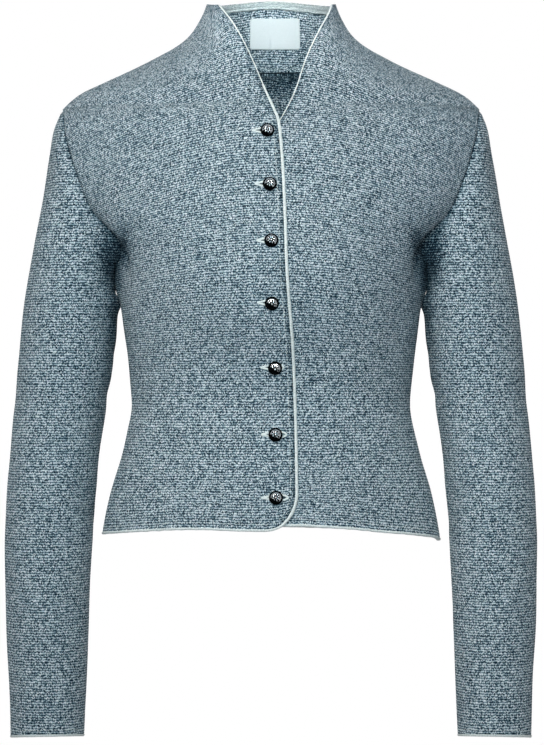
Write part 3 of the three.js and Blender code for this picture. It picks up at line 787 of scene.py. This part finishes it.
# %% Edging strips
def strip(name, path, flip, side=0, closed=False):
    """A strip folded over an edge: a grid along the path and round a U."""
    even, at = evenly(path, 1.8)
    out = outwards(even, closed) * flip
    p, n = even[:, :3], even[:, 3:6]
    turn = np.linspace(0, np.pi, 12)[None]
    wide = edging_width(even[:, 2], side) if side else np.full(len(even), EDGING_WIDE)
    low = mix(0.62, 1, fade(FOOT + 1, FOOT + 16, even[:, 2])) if side else 0.66
    wide = wide * (1 - FILLED) * low
    deep = edging_half(even[:, 2], side) if side else np.full(len(even), EDGING_HALF)
    deep = deep * mix(0.9, 1, low)
    waver = swells(at * 9, at * 0 + 40 * len(name), 0.16)
    if closed:
        waver = waver * np.sin(np.pi * at / at[-1])
    ends = np.ones_like(at) if closed else 0.55 + 0.45 * fade(0, 2, np.minimum(at, at[-1] - at) + 0.5)
    reach = ((wide + 0.7 + waver) * ends)[:, None] * np.sin(turn) ** 0.7 - 0.6
    tall = (deep + 0.35 * waver)[:, None] * ends[:, None] * np.cos(turn)
    middle = p - n * CLOTH / 2
    points = middle[:, None] + out[:, None] * reach[..., None] + n[:, None] * tall[..., None]
    if closed:
        points[-1] = points[0]
    yarn = np.stack([travelled(points, 1), at[:, None] + 0 * reach], -1)
    made = mesh_of("knitted_edge_" + name, points, yarn, middle[:, None])
    if closed:
        sealed(made)
    thicken(made, 0.8)
    print(made.name, "is", round(at[-1]), "mm long")
    return made, even, out


edgings, borders = {}, {}
for name, side in (("front_right", -1), ("front_left", 1)):
    edgings[name], *borders[name] = strip(name, front_path(name), -side, side)
points, away = grids["back"]
hem_path = np.concatenate([points[0], away[0]], -1)
edgings["hem_back"], *borders["hem_back"] = strip("hem_back", hem_path, 1)
for name in ("sleeve_right", "sleeve_left"):
    points, away = grids[name]
    ring = np.concatenate([points[-1], away[-1]], -1)
    cuff = "cuff_" + name.split("_")[1]
    flip = 1 if name == "sleeve_right" else -1
    edgings[cuff], *borders[cuff] = strip(cuff, ring, flip, closed=True)

# %% [markdown]
# ## Band inside the collar and label
# Inside the top of the collar runs a soft pale band whose lower edge is rolled. Under it, in the middle
# of the back, sits a woven label, which is kept plain.

# %% Band inside the collar
def band_points():
    share = np.linspace(0, 1, 281)[None]
    drop = np.linspace(0, 1, 15)[:, None]
    low, high = (COLLAR_ROW - 1 - 7.5 * d for d in (1, 0))
    starts = [angle_at(edge_x(row, 1) + 1.5, row) for row in (low, high)]
    ends = [2 * np.pi + angle_at(edge_x(row, -1) - 1.5, row) for row in (low, high)]
    turn = mix(mix(starts[0], starts[1], drop), mix(ends[0], ends[1], drop), share)
    ragged = swells(turn * 420, 0 * turn, 0.35) * (1 - drop)
    z = collar_top(turn) - 7.9 * (1 - drop) + ragged - 0.2
    points, away = on_form(turn, z)
    roll = 0.7 * bell((drop - 0.12) / 0.13) - 0.5 * bell(drop / 0.06) + 0.25 * np.sin(drop * 12) * drop
    inwards = CLOTH + 0.9 + roll + folds(turn, z) * -1 + 0.12 * np.sin(turn * 300)
    return points - away * inwards[..., None], away


points, away = band_points()
yarn = np.stack([travelled(points, 1), travelled(points, 0)], -1)
inside = points * [0, 0, 1] + (points - points * [0, 0, 1]) * 2
band = mesh_of("band_collar_rib", points, yarn, inside)
thicken(band, 1.2)
print("band is", round(travelled(points, 1).max()), "mm long")

# %% Label
LABEL_X, LABEL_Z, LABEL_WIDE, LABEL_HIGH = 4, 27.5, 51, 29.5


def rounded(x, z, wide, high, radius):
    """Pulls the corners of a rectangle's points in to a radius."""
    over_x = np.maximum(np.abs(x) - (wide / 2 - radius), 0)
    over_z = np.maximum(np.abs(z) - (high / 2 - radius), 0)
    far = np.hypot(over_x, over_z)
    most = np.maximum(over_x, over_z)
    share = np.where(far > 0, most / np.maximum(far, 1e-9), 1)
    return (
        np.sign(x) * (np.abs(x) - over_x + over_x * share),
        np.sign(z) * (np.abs(z) - over_z + over_z * share),
    )


def on_label(x, z, raised):
    """A place on the label in the garment's frame, raised off the collar's inside."""
    angle = np.pi - angle_at(x + LABEL_X, z + LABEL_Z)
    points, away = on_form(angle, z + LABEL_Z)
    puff = 0.5 * (1 - (2 * x / LABEL_WIDE) ** 4) * (1 - (2 * z / LABEL_HIGH) ** 4)
    push = folds(angle, z + LABEL_Z) - CLOTH - 1.1 - raised - puff
    return points + away * push[..., None], away


flat_x, flat_z = np.meshgrid(np.linspace(-25.5, 25.5, 53), np.linspace(-14.75, 14.75, 31))
flat_x, flat_z = rounded(flat_x, flat_z, LABEL_WIDE, LABEL_HIGH, 2.6)
points, _ = on_label(flat_x, flat_z, 0)
label = mesh_of("label_woven", points, np.stack([flat_x, flat_z], -1), points * [0, 0, 1] + [0, 300, 0])
thicken(label, 0.5)
print("label is", LABEL_WIDE, "x", LABEL_HIGH, "mm")

# %% [markdown]
# ## Stitches
# The edging is held by a line of pale stitches, and the label by a fine one. Hundreds of stitches need a
# very plain shape: each is a sphere of 24 faces that is stretched along the line.

# %% Stitch lines
def stitches(name, path, away, pitch, long, thick, lift, swing=0.0):
    """A line of stitches along a path in millimetres."""
    even, at = evenly(np.concatenate([path, away], -1), pitch)
    along = np.gradient(even[:, :3], axis=0)
    bm = bmesh.new()
    for k, (row, ahead) in enumerate(zip(even, along)):
        out = Vector(row[3:6])
        ahead = Vector(ahead).normalized()
        beside = out.cross(ahead).normalized()
        ahead = (ahead + beside * swing * (-1) ** k).normalized()
        beside = out.cross(ahead).normalized()
        turned = Matrix((ahead, beside, out)).transposed().to_4x4()
        size = Matrix.Diagonal((long / 2 * MM, thick / 2 * MM, thick / 2 * MM, 1))
        place = Matrix.Translation((Vector(row[:3]) + out * lift) * MM) @ turned @ size
        bmesh.ops.create_uvsphere(bm, u_segments=6, v_segments=4, radius=1, matrix=place)
    for face in bm.faces:
        face.smooth = True
    print(name, len(even), "stitches")
    return add_object(name, mesh_from(name, bm))


threads = {}
INSET = {"front_right": 5.2, "front_left": 5.2, "hem_back": 5.2, "cuff_right": 4.6, "cuff_left": 4.6}
for name, inset in INSET.items():
    even, out = borders[name]
    even, out = even[even[:, 2] < -66], out[even[:, 2] < -66]
    line = even[:, :3] - out * inset
    threads[name] = stitches("topstitch_" + name, line, even[:, 3:6], 3.3, 2.5, 0.75, 0.1)

turn = np.linspace(0, 2 * np.pi, 181)
ring_x, ring_z = rounded(*(
    s * np.clip(1.5 * f(turn), -1, 1) for s, f in ((24.2, np.cos), (13.4, np.sin))
), 48.4, 26.8, 2.2)
ring, facing_in = on_label(ring_x, ring_z, 0.3)
threads["label"] = stitches("label_stitch", ring, -facing_in, 1.7, 1.5, 0.42, 0.05, 0.35)

# %% [markdown]
# The buttonholes are whipped with pale yarn, close stitches over the cut edge. They are one tube round
# each slit, and its thickness swells with every stitch.

# %% Buttonhole stitching
def whipped_holes():
    pieces = []
    for number, (place, left, right) in enumerate(zip(places, HOLE_LEFT, HOLE_RIGHT)):
        turn = np.linspace(0, 2 * np.pi, 121)[:, None]
        x, y = drop_outline(turn, left - 0.4, right + 0.4, 5.0)
        y = np.where(np.abs(np.sin(turn)) < 1e-6, 0, y)
        line = np.stack([x, y + 0.2, 0.25 + 0 * x], -1)[:, 0]
        line[-1] = line[0]
        even, at = evenly(np.concatenate([line, line * 0 + [0, 0, 1]], -1), 0.3)
        out = outwards(even, True)
        round_it = np.linspace(0, 2 * np.pi, 9)[None]
        thick = 0.78 + 0.18 * np.abs(np.sin(np.pi * at / 0.95)) + 0.05 * np.sin(at * 2.3 + number)
        spread = thick[:, None, None] * (
            out[:, None] * np.cos(round_it)[..., None] * 1.1
            + np.array([0, 0, 1]) * np.sin(round_it)[..., None] * 0.8
        )
        points = even[:, None, :3] + spread
        points[-1] = points[0]
        points[:, -1] = points[:, 0]
        flat = points.reshape(-1, 3) * MM
        turned = np.array(place.to_3x3())
        moved = (flat @ turned.T + np.array(place.translation)) / MM
        points = moved.reshape(points.shape)
        yarn = np.stack([0 * round_it + 0 * at[:, None], at[:, None] + 0 * round_it], -1)
        middle = points[:, :-1].mean(1, keepdims=True)
        made = mesh_of(f"buttonhole_{number + 1}", points, yarn, middle, closed=True)
        pieces.append(sealed(made))
    return pieces


holes = whipped_holes()
print(len(holes), "buttonholes,", sum(len(h.data.polygons) for h in holes), "faces")

# %% [markdown]
# ## Buttons
# The buttons are cast metal, domed, with a rope edge and a flower in low relief, dark in the hollows.
# Half a section is drawn with a few points and spun round, which keeps the dome perfectly round. The
# relief then moves the points along the way they face, and the same numbers are kept as an attribute
# that tells the metal where it was rubbed bright. On each button that attribute is then raised on the
# upper right as a painted highlight and lowered on the lower left as painted shade.

# %% Button
STAND = 0.5


def button_profile():
    """Distance from the middle and height, from the shank's end over the rim to the top."""
    under = [(0, -3.6), (1.1, -3.6), (1.1, 0), (4.8, 0), (5.7, 0.2), (6.2, 0.6)]
    rope = [(5.75 + 0.75 * np.cos(a), 1.35 + 0.75 * np.sin(a)) for a in np.linspace(-0.5, 2.4, 8)]
    lift = np.linspace(0.12, 1, 18)
    dome = [(5.0 * np.cos(a), 1.75 + 3.45 * np.sin(a)) for a in lift * np.pi / 2]
    return under + rope + [(5.05, 1.72)] + dome


def relief(radius, turn, height):
    """How far a point of the button stands out, in millimetres."""
    share = radius / 5.0
    petals = np.cos(4 * turn) ** 2
    ring = bell((share - 0.58) / 0.24) * (0.75 * petals - 0.3)
    veins = -0.22 * bell(np.sin(4 * turn) / 0.25) * bell((share - 0.55) / 0.3)
    boss = 0.5 * bell(share / 0.17) - 0.35 * bell((share - 0.27) / 0.07)
    beads = 0.3 * bell((share - 0.9) / 0.08) * np.abs(np.cos(12 * turn))
    rope = 0.26 * np.sin(27 * turn + 2.6 * height) * (radius > 5.1) * (height > 0.5)
    return np.where(radius < 5.04, ring + veins + boss + beads, rope) * (height > 0.3)


def button_mesh():
    bm = bmesh.new()
    profile = [bm.verts.new((r * MM, 0, h * MM)) for r, h in button_profile()]
    lines = [bm.edges.new(pair) for pair in zip(profile, profile[1:])]
    bmesh.ops.spin(
        bm, geom=profile + lines, cent=(0, 0, 0), axis=(0, 0, 1), dvec=(0, 0, 0),
        angle=2 * np.pi, steps=108, use_merge=True,
    )
    bmesh.ops.remove_doubles(bm, verts=bm.verts, dist=2e-6)
    bmesh.ops.recalc_face_normals(bm, faces=bm.faces)
    bm.normal_update()
    worn = bm.verts.layers.float.new("worn")
    for vert in bm.verts:
        x, y, z = vert.co / MM
        out = float(relief(np.hypot(x, y), np.arctan2(y, x), z))
        rubbed = 0.52 + 1.9 * out if np.hypot(x, y) < 4.7 else 0.12 + 0.9 * out
        vert[worn] = np.clip(rubbed, 0, 1) * (z > 0.45)
        vert.co = vert.co + vert.normal * out * MM
    for face in bm.faces:
        face.smooth = True
    return mesh_from("button", bm)


buttons = []
one = button_mesh()
for number, place in enumerate(places):
    mesh = one.copy()
    spun = Matrix.Rotation(chance.uniform(0, 2 * np.pi), 4, "Z")
    mesh.transform(place @ Matrix.Translation((0, 0, STAND * MM)) @ spun)
    # Painted highlight and shade: the value grows towards each button's upper right and falls towards its
    # lower left
    for vert, wear_and_painted_light in zip(mesh.vertices, mesh.attributes["worn"].data):
        side = (vert.co.z + 0.45 * vert.co.x - place.translation.z - 0.45 * place.translation.x) / MM
        wear_and_painted_light.value *= min(1.3, max(0.3, 0.92 + 0.16 * side))
    buttons.append(add_object(f"cast_button_{number + 1}", mesh))
print("a button has", len(one.polygons), "faces")

# %% [markdown]
# ## Node helpers
# Materials are built from nodes in code. Small helpers keep that readable: one makes a node with
# settings, one feeds an input with a number or another output, one makes a Math node and feeds it, and
# two write colours and ramps.

# %% Node helpers
def node(tree, kind, **settings):
    made = tree.nodes.new("ShaderNode" + kind)
    for key, value in settings.items():
        setattr(made, key, value)
    return made


def feed(tree, socket, given):
    if isinstance(given, bpy.types.NodeSocket):
        tree.links.new(given, socket)
    else:
        socket.default_value = given


def maths(tree, operation, *given):
    made = node(tree, "Math", operation=operation)
    for socket, value in zip(made.inputs, given):
        feed(tree, socket, value)
    return made.outputs[0]


def colour(hex_code):
    """A colour written as on the screen, made linear."""
    parts = [int(hex_code[k : k + 2], 16) / 255 for k in (0, 2, 4)]
    return (*[c / 12.92 if c <= 0.04045 else ((c + 0.055) / 1.055) ** 2.4 for c in parts], 1)


def ramp(tree, factor, stops):
    """A Color Ramp with its stops as (place, colour)."""
    made = node(tree, "ValToRGB")
    elements = made.color_ramp.elements
    while len(elements) < len(stops):
        elements.new(0.5)
    for element, (place, shade) in zip(elements, stops):
        element.position = place
        element.color = shade
    feed(tree, made.inputs[0], factor)
    return made.outputs[0]


print("grey 128 is", round(colour("808080")[0], 3), "in linear light")

# %% [markdown]
# ## Knit as a node group
# The yarn is knitted coarse and felted in the body and fine in the edging. One group makes both, and with
# tiny stitches it also serves for the woven label. It reads the UV map in metres, divides it into rows
# and stitches, and gives four things: how high the surface stands, a random tone for each stitch, as a
# mélange yarn has, a haze of loose fibres, and the ridge of each row. A noise bends the rows first,
# because felting leaves no straight line.

# %% Knit group
def knit_group():
    tree = bpy.data.node_groups.new("knit", "ShaderNodeTree")
    face = tree.interface
    for name, kind, value in (
        ("Yarn", "NodeSocketVector", None), ("Row", "NodeSocketFloat", 0.0031),
        ("Stitch", "NodeSocketFloat", 0.0024), ("Wander", "NodeSocketFloat", 0.5),
    ):
        socket = face.new_socket(name, in_out="INPUT", socket_type=kind)
        if value is not None:
            socket.default_value = value
    for name in ("Height", "Tone", "Haze", "Ridge"):
        face.new_socket(name, in_out="OUTPUT", socket_type="NodeSocketFloat")
    given = tree.nodes.new("NodeGroupInput")
    yarn, row, stitch, wander = (given.outputs[k] for k in range(4))

    bend = node(tree, "TexNoise", noise_dimensions="2D")
    feed(tree, bend.inputs["Vector"], yarn)
    bend.inputs["Scale"].default_value = 260
    bend.inputs["Detail"].default_value = 2
    split = node(tree, "SeparateXYZ")
    feed(tree, split.inputs[0], yarn)
    shifted = node(tree, "SeparateColor")
    feed(tree, shifted.inputs[0], bend.outputs["Color"])
    push_u = maths(tree, "MULTIPLY", maths(tree, "SUBTRACT", shifted.outputs[0], 0.5), wander)
    push_v = maths(tree, "MULTIPLY", maths(tree, "SUBTRACT", shifted.outputs[1], 0.5), wander)
    up = maths(tree, "ADD", maths(tree, "DIVIDE", split.outputs[1], row), push_v)
    row_number = maths(tree, "FLOOR", up)
    stagger = maths(tree, "MULTIPLY", row_number, 0.5)
    across = maths(tree, "ADD", maths(tree, "DIVIDE", split.outputs[0], stitch), push_u)
    across = maths(tree, "ADD", across, stagger)

    ridge = maths(tree, "SINE", maths(tree, "MULTIPLY", maths(tree, "FRACT", up), np.pi))
    loop = maths(tree, "SINE", maths(tree, "MULTIPLY", maths(tree, "FRACT", across), np.pi))
    dent = maths(tree, "MULTIPLY", ridge, maths(tree, "MULTIPLY_ADD", loop, 0.6, 0.4))

    cell = node(tree, "CombineXYZ")
    feed(tree, cell.inputs[0], maths(tree, "FLOOR", across))
    feed(tree, cell.inputs[1], maths(tree, "FLOOR", maths(tree, "MULTIPLY", up, 2)))
    random = node(tree, "TexWhiteNoise", noise_dimensions="2D")
    feed(tree, random.inputs["Vector"], cell.outputs[0])

    fibres = node(tree, "TexNoise", noise_dimensions="2D")
    stretched = node(tree, "CombineXYZ")
    feed(tree, stretched.inputs[0], maths(tree, "DIVIDE", split.outputs[0], stitch))
    feed(tree, stretched.inputs[1], maths(tree, "DIVIDE", split.outputs[1], stitch))
    feed(tree, fibres.inputs["Vector"], stretched.outputs[0])
    fibres.inputs["Scale"].default_value = 1.15
    fibres.inputs["Detail"].default_value = 3
    fibres.inputs["Roughness"].default_value = 0.62
    fibres.inputs["Distortion"].default_value = 0.6

    out = tree.nodes.new("NodeGroupOutput")
    fuzz = maths(tree, "MULTIPLY", fibres.outputs[0], 0.7)
    feed(tree, out.inputs["Height"], maths(tree, "ADD", dent, fuzz))
    feed(tree, out.inputs["Tone"], random.outputs["Value"])
    feed(tree, out.inputs["Haze"], fibres.outputs[0])
    feed(tree, out.inputs["Ridge"], dent)
    return tree


knit_nodes = knit_group()
print("knit group has", len(knit_nodes.nodes), "nodes")

# %% [markdown]
# ## Cloth materials
# The felt is a mélange of slate, grey-blue and near-white fibres. A Principled shader takes the colour
# from the group through a ramp, a bump from the group's height, and a sheen for the nap, which
# brightens the cloth where it turns away. An attribute of painted shade darkens the felt at its seams,
# beside free edges, in the armpits and under the back neck. The same
# recipe with other colours and a finer gauge makes the edging, the band, the sewing yarn and the label.

# %% Cloth materials
def cloth_material(name, row, stitch, wander, weights, stops, bump, sheen, rough=0.95, dark=0.0):
    """Knitted or woven cloth. The weights mix tone, haze and ridge into one shade from 0 to 1."""
    material = bpy.data.materials.new(name)
    material.use_nodes = True
    tree = material.node_tree
    shader = tree.nodes["Principled BSDF"]
    run = node(tree, "UVMap", uv_map="yarn")
    group = node(tree, "Group", node_tree=knit_nodes)
    feed(tree, group.inputs["Yarn"], run.outputs[0])
    group.inputs["Row"].default_value = row * MM
    group.inputs["Stitch"].default_value = stitch * MM
    group.inputs["Wander"].default_value = wander
    shade = weights[3]
    for weight, key in zip(weights, ("Tone", "Haze", "Ridge")):
        shade = maths(tree, "MULTIPLY_ADD", group.outputs[key], weight, shade)
    # Painted shade: the felt's colour is darkened by the attribute's share
    if dark:
        painted_shade_node = node(tree, "Attribute", attribute_name="painted_shade", attribute_type="GEOMETRY")
        shade = maths(tree, "MULTIPLY_ADD", painted_shade_node.outputs["Fac"], -dark, shade)
    feed(tree, shader.inputs["Base Color"], ramp(tree, shade, stops))
    raised = node(tree, "Bump")
    raised.inputs["Strength"].default_value = bump[0]
    raised.inputs["Distance"].default_value = bump[1] * MM
    feed(tree, raised.inputs["Height"], group.outputs["Height"])
    feed(tree, shader.inputs["Normal"], raised.outputs[0])
    shader.inputs["Roughness"].default_value = rough
    shader.inputs["Specular IOR Level"].default_value = 0.2
    shader.inputs["Sheen Weight"].default_value = sheen
    shader.inputs["Sheen Roughness"].default_value = 0.45
    shader.inputs["Sheen Tint"].default_value = colour("b9c9d2")
    return material


felt = cloth_material(
    "felted_blue_grey", 2.45, 0.98, 0.5, (0.95, 1.6, 0.85, -1.2),
    [(0.0, colour("091a26")), (0.28, colour("355361")), (0.55, colour("7c95a0")), (0.8, colour("c3d2d8")),
     (1.0, colour("fcfdfd"))],
    (1.0, 0.7), 0.1, dark=0.55,
)
pale = cloth_material(
    "pale_edging", 1.5, 1.2, 0.5, (0.35, 0.9, 0.4, -0.25),
    [(0.0, colour("9aa3a3")), (0.4, colour("dfe0da")), (1.0, colour("fffffb"))],
    (0.7, 0.35), 0.12,
)
ribbed = cloth_material(
    "ribbed_band", 1.9, 1.1, 0.6, (0.5, 1.2, 0.6, -0.62),
    [(0.0, colour("7f8d8f")), (0.45, colour("c3cbc9")), (1.0, colour("f4f5f0"))],
    (0.9, 0.5), 0.1,
)
sewing = cloth_material(
    "sewing_yarn", 0.9, 0.5, 0.3, (0.3, 0.8, 0.3, -0.2),
    [(0.0, colour("b9c2c3")), (0.5, colour("edefea")), (1.0, colour("ffffff"))],
    (0.5, 0.2), 0.1,
)
woven = cloth_material(
    "woven_label", 0.5, 0.35, 0.2, (0.25, 0.5, 0.3, 0.0),
    [(0.0, colour("c3c5c3")), (1.0, colour("e9eae8"))],
    (0.4, 0.12), 0.05, 0.6,
)
print("felt, edging, band, sewing yarn and label materials made")

# %% [markdown]
# ## Antique silver
# Cast buttons are darkened with a patina and then rubbed, so the relief shines and the hollows stay
# black. The attribute made with the relief mixes the two, and it also holds a painted highlight on each
# button's upper right and painted shade on its lower left; a noise keeps the rubbing uneven.

# %% Metal material
def antique_silver():
    material = bpy.data.materials.new("antique_silver")
    material.use_nodes = True
    tree = material.node_tree
    shader = tree.nodes["Principled BSDF"]
    worn = node(tree, "Attribute", attribute_name="worn", attribute_type="GEOMETRY")
    place = node(tree, "TexCoord")
    stain = node(tree, "TexNoise")
    feed(tree, stain.inputs["Vector"], place.outputs["Object"])
    stain.inputs["Scale"].default_value = 900
    stain.inputs["Detail"].default_value = 4
    shade = maths(tree, "MULTIPLY_ADD", stain.outputs[0], 0.5, -0.25)
    shade = maths(tree, "ADD", worn.outputs["Fac"], shade)
    feed(tree, shader.inputs["Base Color"], ramp(tree, shade, [
        (0.38, colour("050607")), (0.52, colour("24272b")), (0.66, colour("fdfefe")),
    ]))
    rough = ramp(tree, shade, [(0.3, (0.62, 0.62, 0.62, 1)), (0.8, (0.21, 0.21, 0.21, 1))])
    feed(tree, shader.inputs["Roughness"], rough)
    shader.inputs["Metallic"].default_value = 1
    return material


silver = antique_silver()
print("antique silver made")

# %% [markdown]
# ## Putting the pieces on the frame
# Each new piece rides on the solid model's only body and takes a material, and the solid it stands
# for is hidden, unless it is stitching, which no solid shows.

# %% Dress the frame
def dress(piece, slot, material, *nodes):
    piece.data.materials.clear()
    piece.data.materials.append(material)
    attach(piece, "root")
    if nodes:
        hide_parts(*nodes)


for name, piece in knit.items():
    dress(piece, "felt", felt, name)
for name, piece in edgings.items():
    dress(piece, "trim", pale, "edging_" + name)
dress(band, "trim", ribbed, "band_collar")
dress(label, "woven", woven, "label")
for piece in [*threads.values(), *holes]:
    dress(piece, "trim", sewing)
for number, piece in enumerate(buttons):
    dress(piece, "metal", silver, f"button_{number + 1}")

for name, piece in knit.items():
    going = [threads[name]] if name in threads else []
    if name == "front_right":
        going += holes
for name, piece in edgings.items():
    even, _ = borders[name]

# %% [markdown]
# ## Studio
# A plain pale floor lies below the hem, and the world around is white, as in the photograph. The
# picture was lit from above and in front and was dim at the sides, so the soft lamps in front have a
# narrow spread that lets the light fall off towards the sleeves. A small one reaches into the collar,
# and a broad one behind keeps the back from going dark. The floor and the world add a little glow
# for the camera alone, which keeps them pale and puts no light on the cloth.

# %% Floor, world and lamps
bm = bmesh.new()
bmesh.ops.create_grid(bm, x_segments=1, y_segments=1, size=4)
bmesh.ops.translate(bm, verts=bm.verts, vec=(0, 0, -1.4))
floor = add_object("floor", mesh_from("floor", bm))
floor_paint = bpy.data.materials.new("pale_floor")
floor_paint.use_nodes = True
ground = floor_paint.node_tree.nodes["Principled BSDF"]
ground.inputs["Base Color"].default_value = (0.85, 0.85, 0.85, 1)
ground.inputs["Roughness"].default_value = 0.9
ground.inputs["Emission Color"].default_value = (1, 1, 1, 1)
seen = node(floor_paint.node_tree, "LightPath").outputs["Is Camera Ray"]
feed(
    floor_paint.node_tree, ground.inputs["Emission Strength"],
    maths(floor_paint.node_tree, "MULTIPLY", seen, 0.42),
)
floor.data.materials.append(floor_paint)

world = bpy.data.worlds.new("studio")
bpy.context.scene.world = world
world.use_nodes = True
sky = world.node_tree
glow = sky.nodes["Background"]
glow.inputs["Color"].default_value = (0.92, 0.96, 1, 1)
glow.inputs["Strength"].default_value = 0.32
backdrop = node(sky, "Background")
backdrop.inputs["Color"].default_value = (1, 1, 1, 1)
backdrop.inputs["Strength"].default_value = 1
either = node(sky, "MixShader")
feed(sky, either.inputs[0], node(sky, "LightPath").outputs["Is Camera Ray"])
feed(sky, either.inputs[1], glow.outputs[0])
feed(sky, either.inputs[2], backdrop.outputs[0])
feed(sky, sky.nodes["World Output"].inputs["Surface"], either.outputs[0])


def lamp(name, place, size, power, aim, spread=180, tint=(1, 1, 1)):
    """A square soft lamp that points at a place. A narrow spread leaves the rest in half shade."""
    data = bpy.data.lights.new(name, "AREA")
    data.energy = power
    data.size = size
    data.spread = np.radians(spread)
    data.color = tint
    made = add_object(name, data)
    made.location = place
    made.rotation_euler = (Vector(aim) - Vector(place)).to_track_quat("-Z", "Y").to_euler()
    return made


lamp("key", (-0.42, -1.75, 1.15), 0.6, 1.24, (0.02, -0.1, -0.2), 30, (1, 0.98, 0.95))
lamp("front_fill", (-0.15, -2.8, 0.25), 0.8, 2.6, (-0.03, 0, -0.1), 50, (0.43, 0.77, 0.95))
lamp("collar_light", (0, -1.7, 0.34), 0.15, 0.041, (0.01, 0.07, 0.055), 4.5, (0.88, 0.97, 1))
lamp("back_fill", (0.6, 2.7, 1.1), 1.4, 30, (0, 0, -0.3), 180, (0.9, 0.96, 1))
bpy.context.scene.view_settings.view_transform = "Standard"
print("four lamps and a white world")
